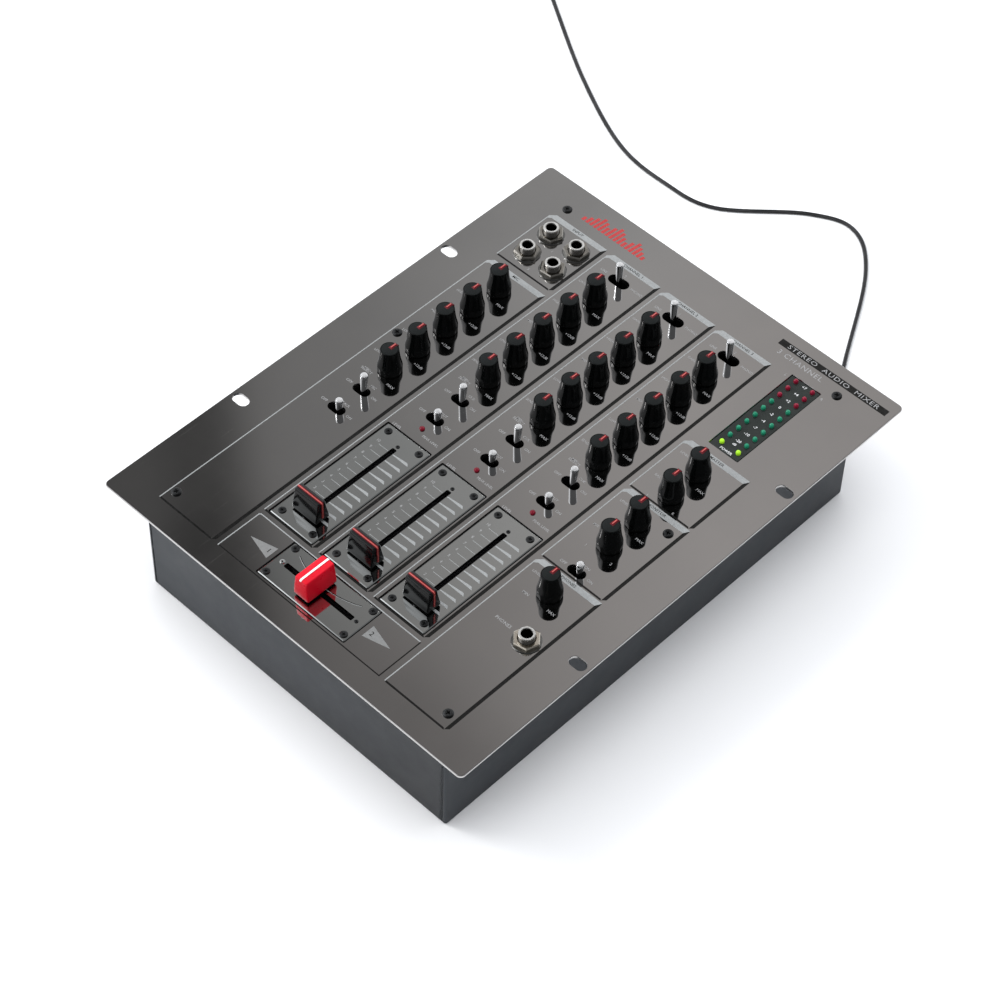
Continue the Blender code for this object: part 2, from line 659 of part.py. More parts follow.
def power_supply():
    """Supply board over the case's floor: transformer, two capacitors and a cooling plate."""
    top = SUPPLY_Z + BOARD_THICKNESS
    z = top - SINK
    core = ((58.0, 92.0, z), (98.0, 128.0, z + 32.0))
    bobbin = ((64.0, 88.0, z + 5.0), (92.0, 132.0, z + 27.0))
    cooling_plate = ((32.0, 128.0, z), (52.0, 131.0, z + 24.0))
    feet = [(x, y, SHEET + GAP, SUPPLY_Z + 0.6, FOOT_RADIUS) for x in FOOT_X for y in FOOT_Y]
    cans = [(CAN_X, y, z, z + CAN_HEIGHT, CAN_RADIUS) for y in CAN_Y]
    obj = boxes("power_supply", [((24.0, 84.0, SUPPLY_Z), (104.0, 138.0, top))], BOARD_GREEN)
    join(obj, boxes("blocks", [core, cooling_plate]))
    join(obj, boxes("bobbin", [bobbin]))
    join(obj, posts("cans", feet + cans, segments=12))


# ---------------------------------------------------------------- rear sockets
SOCKET_BAR_DEPTH, SOCKET_BAR_MARGIN = 8.0, 9.0
BARREL_RADIUS, BARREL_REACH = 4.2, 9.0


def rear_jack_block():
    """Two rows of sockets on one bar, their barrels standing out through the rear panel."""
    inner = CASE_REAR - SHEET - GAP
    (x0, z0), (x1, z1) = SOCKETS[0], SOCKETS[-1]
    margin = SOCKET_BAR_MARGIN
    obj = boxes("rear_jack_block", [((x0 - margin, inner - SOCKET_BAR_DEPTH, z0 - margin),
                                     (x1 + margin, inner, z1 + margin))], SOCKET_PLASTIC)
    root = inner - 1.0
    length = CASE_REAR + BARREL_REACH - root
    bm = bmesh.new()
    for x, z in SOCKETS:
        add_rod(bm, (x, root + length / 2, z), BARREL_RADIUS, length, segments=8,
                tilt=-math.pi / 2)
    join(obj, bmesh_object("barrels", bm))


# ---------------------------------------------------------------- power cord
CORD_RADIUS = 1.4
CORD_LOWEST = CORD_RADIUS + 0.1

# (x, y, z) from inside the rear panel to the plug
CORD_WAYPOINTS = (
    (CORD_EXIT_X, 150.0, CORD_EXIT_Z), (CORD_EXIT_X, 166.0, CORD_EXIT_Z), (88.0, 178.0, 15.0),
    (78.0, 196.0, 3.4), (52.0, 240.0, 1.6), (14.0, 305.5, 1.6), (-16.0, 330.5, 1.6),
    (-46.0, 321.0, 1.6), (-91.0, 283.0, 1.6), (-128.0, 277.0, 1.6), (-172.0, 282.5, 1.6),
    (-232.0, 311.5, 1.6), (-301.0, 355.0, 1.6), (-318.0, 365.0, 3.5))

# (radius, distance out along the cord): outer nose, flange, then the inner neck
BUSH_PROFILE = ((0.0, 12.0), (2.4, 12.0), (3.2, 2.4), (5.4, 2.4), (5.4, 0.0), (3.4, 0.0),
                (3.4, -3.6), (0.0, -3.6))
PLUG_HALF = Vector((15.0, 9.5, 4.5))
PLUG_BEVEL = 2.0
PLUG_AHEAD, PLUG_Z = 14.0, 4.8  # plug's centre beyond the cord's end, and its height
BLADE_X, BLADE_Y = (12.0, 32.0), 6.35
BLADE_HALF_THICKNESS, BLADE_HALF_HEIGHT = 0.75, 3.15


def smooth_path(points, steps):
    """Catmull-Rom points through the waypoints."""
    pts = [Vector(p) for p in points]
    pts = [2 * pts[0] - pts[1]] + pts + [2 * pts[-1] - pts[-2]]
    path = []
    for i in range(1, len(pts) - 2):
        a, b, c, d = pts[i - 1:i + 3]
        for step in range(steps):
            t = step / steps
            path.append(0.5 * (2 * b + (c - a) * t + (2 * a - 5 * b + 4 * c - d) * t * t
                               + (3 * b - a - 3 * c + d) * t ** 3))
    path.append(pts[-2])
    return path


def cord_plug():
    bm = bmesh.new()
    add_block(bm, -PLUG_HALF, PLUG_HALF)
    bmesh.ops.bevel(bm, geom=list(bm.edges), offset=PLUG_BEVEL * MM, segments=2, profile=0.5,
                    affect="EDGES")
    return bmesh_object("plug", bm)


def plug_blades():
    spans = []
    for y in (-BLADE_Y, BLADE_Y):
        spans.append(((BLADE_X[0], y - BLADE_HALF_THICKNESS, -BLADE_HALF_HEIGHT),
                      (BLADE_X[1], y + BLADE_HALF_THICKNESS, BLADE_HALF_HEIGHT)))
    return boxes("blades", spans)


def power_cord():
    """The lead with its moulded bush at the rear panel and a two-blade plug at the far end."""
    curve = bpy.data.curves.new("power_cord", "CURVE")
    curve.dimensions = "3D"
    curve.bevel_depth = CORD_RADIUS * MM
    curve.bevel_resolution = 1
    curve.use_fill_caps = True
    path = smooth_path(CORD_WAYPOINTS, 3)
    add_path(curve, [(p.x, p.y, max(p.z, CORD_LOWEST)) for p in path], closed=False)
    obj = curve_to_mesh("power_cord", curve, CORD_PVC)
    join(obj, turned("bush", BUSH_PROFILE, 12, at=(CORD_EXIT_X, CASE_REAR + GAP, CORD_EXIT_Z),
                     rot=(-math.pi / 2, 0, 0)))

    end, before = path[-1], path[-3]
    heading = math.atan2(end.y - before.y, end.x - before.x)
    centre = (end.x + PLUG_AHEAD * math.cos(heading), end.y + PLUG_AHEAD * math.sin(heading),
              PLUG_Z)
    for piece in (cord_plug(), plug_blades()):
        place(piece, centre, (0, 0, heading))
        join(obj, piece)


face_panel()
chassis_shell()
rear_panel()
sub_frame()
fader_plates()
fader_units()
fader_caps()
knobs()
levers()
control_board()
jacks()
led_meter()
power_supply()
rear_jack_block()
power_cord()
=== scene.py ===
"""Visual model of a rack-ear DJ mixer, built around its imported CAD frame.

The mixer lies on its back: +X is right, +Y the rear and +Z up out of the face panel.
Lengths are in millimetres and turn into metres when meshes are made; shader lengths are in
metres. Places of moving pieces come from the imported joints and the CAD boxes.
"""

import json
import math

import bmesh
import bpy
from mathutils import Matrix, Vector

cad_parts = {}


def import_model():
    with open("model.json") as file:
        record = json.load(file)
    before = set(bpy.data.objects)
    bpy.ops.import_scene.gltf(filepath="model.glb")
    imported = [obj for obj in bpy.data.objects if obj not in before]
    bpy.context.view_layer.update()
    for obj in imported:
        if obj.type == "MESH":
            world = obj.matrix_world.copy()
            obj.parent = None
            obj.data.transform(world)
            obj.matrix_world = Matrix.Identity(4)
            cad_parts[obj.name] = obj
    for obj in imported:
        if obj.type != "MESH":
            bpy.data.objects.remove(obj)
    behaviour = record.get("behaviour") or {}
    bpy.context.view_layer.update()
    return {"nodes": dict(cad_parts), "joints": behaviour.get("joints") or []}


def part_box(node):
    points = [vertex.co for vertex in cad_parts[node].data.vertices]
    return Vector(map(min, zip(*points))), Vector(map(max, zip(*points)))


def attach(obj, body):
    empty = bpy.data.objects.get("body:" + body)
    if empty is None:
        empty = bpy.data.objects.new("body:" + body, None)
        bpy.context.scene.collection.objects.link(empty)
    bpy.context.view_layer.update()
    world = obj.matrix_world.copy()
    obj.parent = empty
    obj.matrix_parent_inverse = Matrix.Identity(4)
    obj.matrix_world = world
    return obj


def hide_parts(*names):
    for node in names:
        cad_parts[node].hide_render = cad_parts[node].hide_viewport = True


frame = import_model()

MM = 0.001
CASE = "mixer_case"


JOINT_OF = {joint["child"]: joint for joint in frame["joints"]}


def box(node):
    low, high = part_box(node)
    return low / MM, high / MM


def middle_and_size(node):
    low, high = box(node)
    return (low + high) / 2, high - low


def joint_at(node):
    return Vector(JOINT_OF[node]["pos_m"]) / MM


# ================================================================ layout
PANEL_LOW, PANEL_HIGH = box("face_panel")
TOP, UNDER = PANEL_HIGH.z, PANEL_LOW.z
KNOBS = sorted(n for n in frame["nodes"] if n.endswith("_knob"))
LEVERS = sorted(n for n in frame["nodes"] if n.endswith("_lever"))
SHORT_LEVERS = {"mute": "CUT", "talkover": "TALK", "monitor": "MON"}  # word in name: print
PLATES = ("fader_plate_1", "fader_plate_2", "fader_plate_3", "crossfader_plate")
CHANNEL_X = tuple(middle_and_size(plate)[0].x for plate in PLATES[:3])
PLATE_GAP = 0.8
PANEL_SCREW_X = 104.3
CROSS_Y = -145.2  # middle line of the crossfader
FADER_SLOT_Y = -80.3
FADER_SLOT = (3.2, 66.2)
CROSS_SLOT = (51.6, 3.2)
THREE_WAY_SLOT = (14.2, 7.1)
TWO_WAY_SLOT = (11.6, 6.4)
INPUT_JACKS = ((-96.4, 134.4), (-76.0, 134.4), (-96.3, 114.2), (-76.0, 114.2))
PHONES_JACK = (100.5, -91.1)
JACK_HOLE_RADIUS = 5.1
METER_AT = (86.6, 115.9)
METER_OPENING = (21.2, 71.6)
METER_ROWS = [148.7 - 7.03 * i for i in range(10)]
GLASS_TOP = TOP - 0.3
SOCKET_PLACES = [(-80.0 + 17.0 * i, z) for z in (30.0, 50.0) for i in range(8)]
CORD_X, CORD_Z = 92.0, 24.0  # where the power cord leaves the rear panel


def lever_slot(name):
    return THREE_WAY_SLOT if "input" in name else TWO_WAY_SLOT


def short_lever_print(name):
    """The word printed by a short lever, or None for a tall one."""
    return next((label for word, label in SHORT_LEVERS.items() if word in name), None)


# ================================================================ shader nodes
class Nodes:
    """Adds nodes to a shader tree and returns their output sockets."""

    def __init__(self, tree):
        self.tree = tree
        self.coord = self.new("TexCoord").outputs

    def put(self, socket, value):
        if isinstance(value, bpy.types.NodeSocket):
            self.tree.links.new(value, socket)
        elif socket.type == "RGBA":
            socket.default_value = (*value, 1.0)
        else:
            socket.default_value = value

    def set(self, node, **inputs):
        for key, value in inputs.items():
            self.put(node.inputs[key.replace("_", " ")], value)

    def new(self, kind, **inputs):
        node = self.tree.nodes.new("ShaderNode" + kind)
        self.set(node, **inputs)
        return node

    def split(self, coordinates):
        return self.new("SeparateXYZ", Vector=self.coord[coordinates]).outputs

    def span(self, value, start, stop, low=0.0, high=1.0, curve="LINEAR"):
        """Carries start..stop over to low..high, held at both ends."""
        node = self.new("MapRange", Value=value, From_Min=start, From_Max=stop,
                        To_Min=low, To_Max=high)
        node.interpolation_type = curve
        return node.outputs["Result"]

    def smooth(self, value, start, stop, low=0.0, high=1.0):
        return self.span(value, start, stop, low, high, curve="SMOOTHSTEP")

    def math(self, operation, first, second=0.0, clamp=False):
        node = self.new("Math")
        node.operation = operation
        node.use_clamp = clamp
        for socket, value in zip(node.inputs, (first, second, 0.0)):
            self.put(socket, value)
        return node.outputs["Value"]

    def plus(self, first, second):
        return self.math("ADD", first, second)

    def times(self, first, second):
        return self.math("MULTIPLY", first, second)

    def inverse(self, value):
        return self.math("SUBTRACT", 1.0, value)

    def mix(self, factor, first, second, blend="MIX"):
        node = self.new("Mix")
        node.data_type = "RGBA"
        node.blend_type = blend
        # sockets 6, 7 and output 2 are the colour ones
        for index, value in ((0, factor), (6, first), (7, second)):
            self.put(node.inputs[index], value)
        return node.outputs[2]


class Shade(Nodes):
    """The node tree of one material."""

    def __init__(self, name):
        self.material = bpy.data.materials.new(name)
        self.material.use_nodes = True
        super().__init__(self.material.node_tree)

    def place(self, scale, rotation=(0, 0, 0)):
        return self.new("Mapping", Vector=self.coord["Object"], Scale=scale,
                        Rotation=rotation).outputs["Vector"]

    def noise(self, scale, detail=2.0, rough=0.5, vector=None):
        return self.new("TexNoise", Vector=vector or self.coord["Object"], Scale=scale,
                        Detail=detail, Roughness=rough).outputs["Fac"]

    def drift(self, scale, detail=2.0, rough=0.5, start=0.3, stop=0.7, low=0.0, high=1.0):
        """Cloudy noise: its start..stop is stretched to low..high."""
        return self.span(self.noise(scale, detail, rough), start, stop, low, high)

    def mottle(self, base, light, scale, **cloud):
        return self.mix(self.drift(scale, **cloud), base, light)

    def dust(self, color, amount, tint, scale, **cloud):
        return self.mix(self.times(self.drift(scale, **cloud), amount), color, tint)

    def bump(self, height, strength, depth):
        """depth is in millimetres."""
        return self.new("Bump", Strength=strength, Distance=depth * MM,
                        Height=height).outputs["Normal"]

    def grain(self, scale, strength, depth, detail=2.0, rough=0.5):
        return self.bump(self.noise(scale, detail, rough), strength, depth)

    def scratches(self, angle, density, stretch, cut):
        """Thin straight marks that run along one direction."""
        vector = self.place((density, density / stretch, density), (0, 0, angle))
        noise = self.noise(1.0, detail=1.0, rough=0.4, vector=vector)
        return self.span(noise, cut, cut + 0.05)

    def finish(self, color, rough, metallic=0.0, specular=0.5, **inputs):
        self.set(self.tree.nodes["Principled BSDF"], Base_Color=color, Roughness=rough,
                 Metallic=metallic, Specular_IOR_Level=specular, **inputs)
        return self.material


# ================================================================ materials
def polished(name, base, light, rough, wave, rim_brush):
    """Mirror-like dark plating with wipe marks and scratches that grow to the front left.

    rough is the range of roughness, wave the bump strength, rim_brush the rims' added roughness.
    """
    shade = Shade(name)
    x, y, _ = shade.split("Object")
    along_diagonal = shade.plus(shade.times(x, 0.58), shade.times(y, 0.81))
    front_left = shade.span(along_diagonal, 0.02, -0.19)
    color = shade.mottle(base, light, 14.0, detail=3.0, rough=0.55, start=0.35, stop=0.65)
    marks = shade.math("MAXIMUM",
                       shade.scratches(0.62, density=1500.0, stretch=55.0, cut=0.71),
                       shade.scratches(-0.35, density=1100.0, stretch=45.0, cut=0.73))
    marks = shade.times(marks, shade.span(front_left, 0.0, 1.0, low=0.12, high=1.0))
    smudge = shade.drift(55.0, detail=4.0, rough=0.6, start=0.35, low=rough[0], high=rough[1])
    roughness = shade.plus(smudge, shade.times(marks, 0.07))
    # bevelled rims are brushed, not polished
    rim = shade.span(shade.split("Normal")[2], 0.95, 0.80)
    roughness = shade.plus(roughness, shade.times(rim, rim_brush))
    color = shade.dust(color, 0.25, (0.75, 0.75, 0.74), 1900.0, detail=1.0, rough=0.3,
                       start=0.80, stop=0.84)
    return shade.finish(color, roughness, metallic=1.0,
                        Normal=shade.grain(22.0, strength=wave, depth=0.02))


def edge_mask(shade, radius, start, stop):
    """1 along edges: where a rounded normal departs from the true one."""
    bevel = shade.new("Bevel", Radius=radius * MM)
    bevel.samples = 4
    dot = shade.new("VectorMath")
    dot.operation = "DOT_PRODUCT"
    shade.put(dot.inputs[0], bevel.outputs[0])
    shade.put(dot.inputs[1], shade.new("NewGeometry").outputs["Normal"])
    return shade.span(shade.inverse(dot.outputs["Value"]), start, stop)


def painted(name, base, light):
    """Satin powder coat: orange peel, faint dust and rubbed edges."""
    shade = Shade(name)
    color = shade.mottle(base, light, 9.0, detail=3.0, rough=0.6)
    color = shade.dust(color, 0.10, (0.35, 0.36, 0.38), 1300.0, start=0.70, stop=0.78)
    rubbed = shade.times(edge_mask(shade, radius=0.7, start=0.06, stop=0.35),
                         shade.drift(160.0, detail=3.0, rough=0.7, start=0.48, stop=0.62))
    color = shade.mix(shade.times(rubbed, 0.5), color, (0.30, 0.31, 0.33))
    satin = shade.drift(70.0, detail=3.0, rough=0.6, low=0.44, high=0.49)
    return shade.finish(color, shade.plus(satin, shade.times(rubbed, -0.12)), specular=0.24,
                        Normal=shade.grain(950.0, strength=0.35, depth=0.02, rough=0.55))


def moulded(name, base, light, rough, grain, dust, specular=0.5, flank=None):
    """Moulded plastic: tone drift, fine grain and dust specks.

    flank is the specular level seen at a grazing angle.
    """
    shade = Shade(name)
    if flank is not None:
        facing = shade.new("LayerWeight", Blend=0.5).outputs["Facing"]
        specular = shade.span(facing, 0.36, 0.72, low=specular, high=flank)
    color = shade.mottle(base, light, 120.0)
    color = shade.dust(color, dust, (0.5, 0.5, 0.5), 2600.0, detail=1.0, rough=0.4,
                       start=0.77, stop=0.82)
    roughness = shade.drift(260.0, detail=3.0, rough=0.6, low=rough * 0.75, high=rough * 1.35)
    return shade.finish(color, roughness, specular=specular,
                        Normal=shade.grain(1500.0, strength=grain, depth=0.01, rough=0.6))


def ridge_finish(name, flank, crown):
    """Moulded pointer: its crown is painted paler as a painted highlight, its flanks darker as
    painted shade.
    """
    shade = Shade(name)
    z = shade.split("Normal")[2]
    tone = shade.mottle(crown, tuple(v * 1.12 for v in crown), 900.0)
    # upward faces get the pale crown colour (painted highlight), sloping faces the dark flank
    # colour (painted shade)
    color = shade.mix(shade.span(z, 0.93, 0.985), flank, tone)
    return shade.finish(color, shade.drift(700.0, low=0.30, high=0.42), specular=0.3,
                        Normal=shade.grain(1500.0, strength=0.05, depth=0.01, rough=0.6))


def metal(name, base, light, rough, brush=0.0, flat_top=None, grain=0.05):
    """Plated or brushed metal. flat_top is the colour and roughness of faces that look up; their
    lighter colour is a painted highlight.
    """
    shade = Shade(name)
    color = shade.mottle(base, light, 300.0)
    roughness = shade.drift(420.0, detail=3.0, rough=0.6, low=rough * 0.7, high=rough * 1.4)
    if brush:
        lines = shade.noise(1.0, vector=shade.place((3200.0, 60.0, 3200.0)))
        roughness = shade.plus(roughness, shade.times(lines, brush))
    if flat_top is not None:
        top_highlight_color, top_rough = flat_top
        # faces that look up get a lighter colour, a painted highlight, and a rougher finish
        upward = shade.span(shade.split("Normal")[2], 0.86, 0.95)
        color = shade.mix(upward, color, top_highlight_color)
        turned = shade.drift(2400.0, detail=1.0, low=top_rough * 0.85, high=top_rough * 1.15)
        roughness = shade.plus(shade.times(roughness, shade.inverse(upward)),
                               shade.times(turned, upward))
    return shade.finish(color, roughness, metallic=1.0,
                        Normal=shade.grain(1200.0, strength=grain, depth=0.006))


def printed(name, base, light, rough=0.45, specular=0.5):
    """Screen-printed ink: slightly uneven cover."""
    shade = Shade(name)
    cover = shade.noise(700.0, detail=3.0, rough=0.6)
    color = shade.mix(shade.span(cover, 0.35, 0.65), base, light)
    return shade.finish(color, shade.drift(300.0, low=rough - 0.06, high=rough + 0.08),
                        specular=specular, Normal=shade.bump(cover, strength=0.08, depth=0.004))


def lamp(name, base, light, glow=None, power=0.0, coat=0.35):
    """Glossy coloured lens; a glow is strongest at its crown. On the unlit red and green lamps
    this glow is painted light.
    """
    shade = Shade(name)
    emission = {}
    if glow is not None:
        strength = shade.span(shade.split("Normal")[2], -0.2, 1.0, low=power * 0.5, high=power)
        emission = {"Emission_Color": glow, "Emission_Strength": strength}
    return shade.finish(shade.mottle(base, light, 500.0), shade.drift(900.0, low=0.10, high=0.2),
                        specular=0.35, Coat_Weight=coat, Coat_Roughness=0.05,
                        Normal=shade.grain(800.0, strength=0.05, depth=0.01, detail=1.0),
                        **emission)


def board_finish(name, board_top):
    """Green solder mask with faint tracks; everything above board_top is dark."""
    shade = Shade(name)
    z = shade.split("Object")[2]
    tracks = shade.new("TexBrick", Vector=shade.place((60, 60, 60)), Scale=7.0,
                       Mortar_Size=0.03)
    green = shade.mix(tracks.outputs["Fac"], (0.012, 0.085, 0.035), (0.03, 0.17, 0.07))
    above = shade.span(z, (board_top - 0.05) * MM, (board_top + 0.05) * MM)
    dark = shade.mottle((0.012, 0.012, 0.013), (0.03, 0.03, 0.032), 200.0)
    return shade.finish(shade.mix(above, green, dark),
                        shade.drift(120.0, detail=3.0, low=0.3, high=0.5),
                        Normal=shade.grain(900.0, strength=0.1, depth=0.02))


def cord_finish(name, base, light):
    shade = Shade(name)
    color = shade.mottle(base, light, 60.0, detail=3.0, start=0.35, stop=0.65)
    return shade.finish(color, shade.drift(200.0, low=0.26, high=0.42),
                        Normal=shade.grain(1400.0, strength=0.18, depth=0.02, rough=0.6))


# Each finish: material name, its darker and lighter tone, then what sets it apart.
FINISHES = {
    "panel": polished("panel_black_chrome", (0.545, 0.535, 0.528), (0.575, 0.562, 0.552),
                      rough=(0.030, 0.060), wave=0.15, rim_brush=0.26),
    "plate": polished("plate_black_chrome", (0.660, 0.680, 0.672), (0.690, 0.708, 0.700),
                      rough=(0.050, 0.095), wave=0.2, rim_brush=0.05),
    "case": painted("case_powder_coat", (0.0236, 0.0284, 0.0342), (0.0254, 0.0302, 0.0364)),
    "case_dark": painted("rear_powder_coat", (0.030, 0.034, 0.040), (0.040, 0.045, 0.052)),
    "knob": moulded("knob_black_gloss", (0.0018, 0.0022, 0.0022), (0.0026, 0.0031, 0.0031),
                    rough=0.12, grain=0.05, dust=0.02, specular=0.17, flank=0.03),
    "knob_top": moulded("knob_top_matt", (0.0065, 0.0080, 0.0080), (0.0095, 0.0115, 0.0115),
                        rough=0.48, grain=0.25, dust=0.02, specular=0.15),
    # the pointer's crown colour is a painted highlight and its flank colour painted shade
    "pointer": ridge_finish("pointer_red_painted_sheen", flank=(0.105, 0.0030, 0.0080),
                            crown=(0.42, 0.085, 0.075)),
    "cap": moulded("cap_black_gloss", (0.0024, 0.0027, 0.0030), (0.0038, 0.0040, 0.0043),
                   rough=0.10, grain=0.03, dust=0.02, specular=0.36),
    "cap_line": moulded("cap_line_red", (0.37, 0.062, 0.052), (0.43, 0.078, 0.064),
                        rough=0.34, grain=0.06, dust=0.03),
    "cap_edge": moulded("cap_line_dark_red", (0.080, 0.0018, 0.0062), (0.105, 0.0024, 0.0080),
                        rough=0.30, grain=0.06, dust=0.0, specular=0.25),
    "cross": moulded("cross_cap_red", (0.58, 0.0012, 0.014), (0.66, 0.0020, 0.018),
                     rough=0.33, grain=0.04, dust=0.0, specular=0.25),
    "void": moulded("slot_shadow_black", (0.0014, 0.0014, 0.0015), (0.0024, 0.0024, 0.0025),
                    rough=0.6, grain=0.1, dust=0.0, specular=0.08),
    "cross_line": moulded("cross_line_white", (0.80, 0.76, 0.78), (0.90, 0.88, 0.89),
                          rough=0.35, grain=0.05, dust=0.0),
    # the levers' upward faces take a lighter colour: painted highlight
    "chrome": metal("lever_chrome_plate", (0.62, 0.63, 0.64), (0.69, 0.70, 0.71),
                    rough=0.06, flat_top=((0.93, 0.93, 0.93), 0.50)),
    "nickel": metal("jack_nickel_plate", (0.40, 0.38, 0.345), (0.49, 0.465, 0.42), rough=0.13),
    "warm_nickel": metal("phones_nickel_plate", (0.90, 0.82, 0.70), (0.97, 0.90, 0.78),
                         rough=0.16),
    "ring": metal("jack_ring_face", (0.76, 0.75, 0.72), (0.84, 0.83, 0.80), rough=0.42),
    "thread": metal("jack_thread", (0.20, 0.19, 0.175), (0.28, 0.265, 0.245), rough=0.22),
    "washer": metal("washer_dark", (0.20, 0.20, 0.195), (0.28, 0.28, 0.27), rough=0.20),
    "bright": metal("small_screw_nickel", (0.42, 0.42, 0.41), (0.52, 0.52, 0.51), rough=0.30),
    "zinc": metal("zinc_steel", (0.40, 0.41, 0.42), (0.52, 0.53, 0.54), rough=0.32, brush=0.25),
    "screw": metal("screw_black_oxide", (0.040, 0.041, 0.042), (0.062, 0.063, 0.064),
                   rough=0.34, grain=0.10),
    # the recess floors' darker colour is painted shade
    "recess": metal("screw_recess_painted_shade", (0.010, 0.010, 0.010), (0.016, 0.016, 0.016), rough=0.40),
    "window": moulded("meter_window_black", (0.012, 0.016, 0.015), (0.019, 0.024, 0.022),
                      rough=0.10, grain=0.03, dust=0.06),
    # the unlit red lamps get a faint painted glow
    "lamp_red": lamp("lamp_red_unlit_painted_glow", (0.17, 0.0035, 0.018), (0.22, 0.006, 0.028),
                     glow=(0.5, 0.004, 0.03), power=0.03),
    "peak": lamp("peak_lamp_red", (0.115, 0.0025, 0.010), (0.145, 0.0040, 0.014), coat=0.0),
    # the unlit green lamps get a faint painted glow
    "lamp_green": lamp("lamp_green_unlit_painted_glow", (0.008, 0.155, 0.085), (0.014, 0.215, 0.120),
                       glow=(0.01, 0.35, 0.18), power=0.07),
    "lamp_lit": lamp("lamp_yellow_green_lit", (0.30, 0.62, 0.02), (0.36, 0.70, 0.03),
                     glow=(0.42, 0.85, 0.02), power=0.28),
    "light": printed("ink_light_grey", (0.242, 0.252, 0.254), (0.276, 0.287, 0.289)),
    "pale": printed("ink_pale_grey", (0.160, 0.163, 0.162), (0.182, 0.185, 0.184)),
    "label": printed("ink_label_grey", (0.235, 0.236, 0.240), (0.285, 0.286, 0.290)),
    "scale": printed("ink_meter_white", (0.58, 0.59, 0.60), (0.68, 0.69, 0.70)),
    "dark": printed("ink_black", (0.0060, 0.0060, 0.0058), (0.0090, 0.0090, 0.0086),
                    rough=0.14, specular=0.30),
    "motif": printed("ink_red", (0.34, 0.020, 0.022), (0.42, 0.030, 0.030)),
    "plastic": moulded("socket_black_plastic", (0.012, 0.012, 0.013), (0.022, 0.022, 0.024),
                       rough=0.38, grain=0.25, dust=0.08),
    "white_plastic": moulded("socket_white_insert", (0.62, 0.61, 0.58), (0.70, 0.69, 0.66),
                             rough=0.35, grain=0.1, dust=0.02),
    "red_plastic": moulded("socket_red_insert", (0.48, 0.015, 0.015), (0.56, 0.022, 0.020),
                           rough=0.35, grain=0.1, dust=0.02),
    "cord": cord_finish("cord_black_pvc", (0.010, 0.010, 0.011), (0.020, 0.020, 0.021)),
    "stripe": cord_finish("cord_light_stripe", (0.34, 0.35, 0.36), (0.46, 0.47, 0.48)),
    "board": board_finish("control_board_finish", board_top=52.05),
    "supply": board_finish("supply_board_finish", board_top=7.65),
}


# ================================================================ objects from bmeshes
def new_object(name, data):
    obj = bpy.data.objects.new(name, data)
    bpy.context.scene.collection.objects.link(obj)
    return obj


def to_mesh(name, part):
    """Turns a bmesh in millimetres into a mesh in metres."""
    bmesh.ops.scale(part, vec=(MM, MM, MM), verts=part.verts)
    mesh = bpy.data.meshes.new(name)
    part.to_mesh(mesh)
    part.free()
    return mesh


def mesh_of(name, part, finish, angle=32.0):
    """A finished mesh; edges sharper than angle (degrees) stay sharp."""
    bmesh.ops.remove_doubles(part, verts=part.verts, dist=0.0004)
    bmesh.ops.recalc_face_normals(part, faces=part.faces)
    mesh = to_mesh(name, part)
    mesh.shade_smooth()
    mesh.set_sharp_from_angle(angle=math.radians(angle))
    mesh.materials.append(FINISHES[finish])
    return mesh


def add_mesh(name, mesh, slot, body=CASE, at=(0, 0, 0), turn=(0, 0, 0), replaces=()):
    obj = new_object(name, mesh)
    obj.location = Vector(at) * MM
    obj.rotation_euler = turn
    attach(obj, body)
    if replaces:
        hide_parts(*replaces)


def add(name, part, finish, slot, angle=32.0, **how):
    add_mesh(name, mesh_of(name, part, finish, angle), slot, **how)


# ================================================================ outlines: inset -> points
def rounded(x, y, width, depth, radius, steps=6, hole=False):
    def outline(inset):
        shrink = -inset if hole else inset
        half_x, half_y = width / 2 - shrink, depth / 2 - shrink
        corner = max(radius - shrink, 0.02)
        points = []
        for side_x, side_y, start in ((1, 1, 0), (-1, 1, 90), (-1, -1, 180), (1, -1, 270)):
            for i in range(steps + 1):
                angle = math.radians(start + 90.0 * i / steps)
                points.append((x + side_x * (half_x - corner) + corner * math.cos(angle),
                               y + side_y * (half_y - corner) + corner * math.sin(angle)))
        return points
    return outline


def circle(x, y, radius, steps=32, hole=False):
    def outline(inset):
        size = radius + inset if hole else radius - inset
        angles = [2 * math.pi * i / steps for i in range(steps)]
        return [(x + size * math.cos(a), y + size * math.sin(a)) for a in angles]
    return outline


def oval_hole(x, y, length, height, steps=12):
    def outline(inset):
        radius = height / 2 + inset
        half = (length - height) / 2
        points = []
        for side, start in ((1, -90), (-1, 90)):
            for i in range(steps + 1):
                angle = math.radians(start + 180.0 * i / steps)
                points.append((x + side * half + radius * math.cos(angle),
                               y + radius * math.sin(angle)))
        return points
    return outline


def hexagon(x, y, across, turn):
    def outline(inset):
        radius = (across / 2 - inset) / math.cos(math.pi / 6)
        angles = [math.pi / 3 * i + turn for i in range(6)]
        return [(x + radius * math.cos(a), y + radius * math.sin(a)) for a in angles]
    return outline


def polygon(points):
    return lambda inset: points


def punched(outline, most=0.06):
    """The same outline, chamfered by no more than most."""
    return lambda inset: outline(min(inset, most))


def cross_points(x, y, reach, arm, turn):
    """A plus sign: reach from its centre, arm half the width of a bar."""
    points = []
    for k in range(4):
        angle = turn + k * math.pi / 2
        for u, v in ((reach, -arm), (reach, arm), (arm, arm)):
            points.append((x + u * math.cos(angle) - v * math.sin(angle),
                           y + u * math.sin(angle) + v * math.cos(angle)))
    return points


# ================================================================ solids
def ring(part, points, z):
    return [part.verts.new((x, y, z)) for x, y in points]


def bridge(part, first, second):
    count = len(first)
    for i in range(count):
        j = (i + 1) % count
        part.faces.new((first[i], first[j], second[j], second[i]))


def bridge_all(part, rows):
    for first, second in zip(rows, rows[1:]):
        bridge(part, first, second)


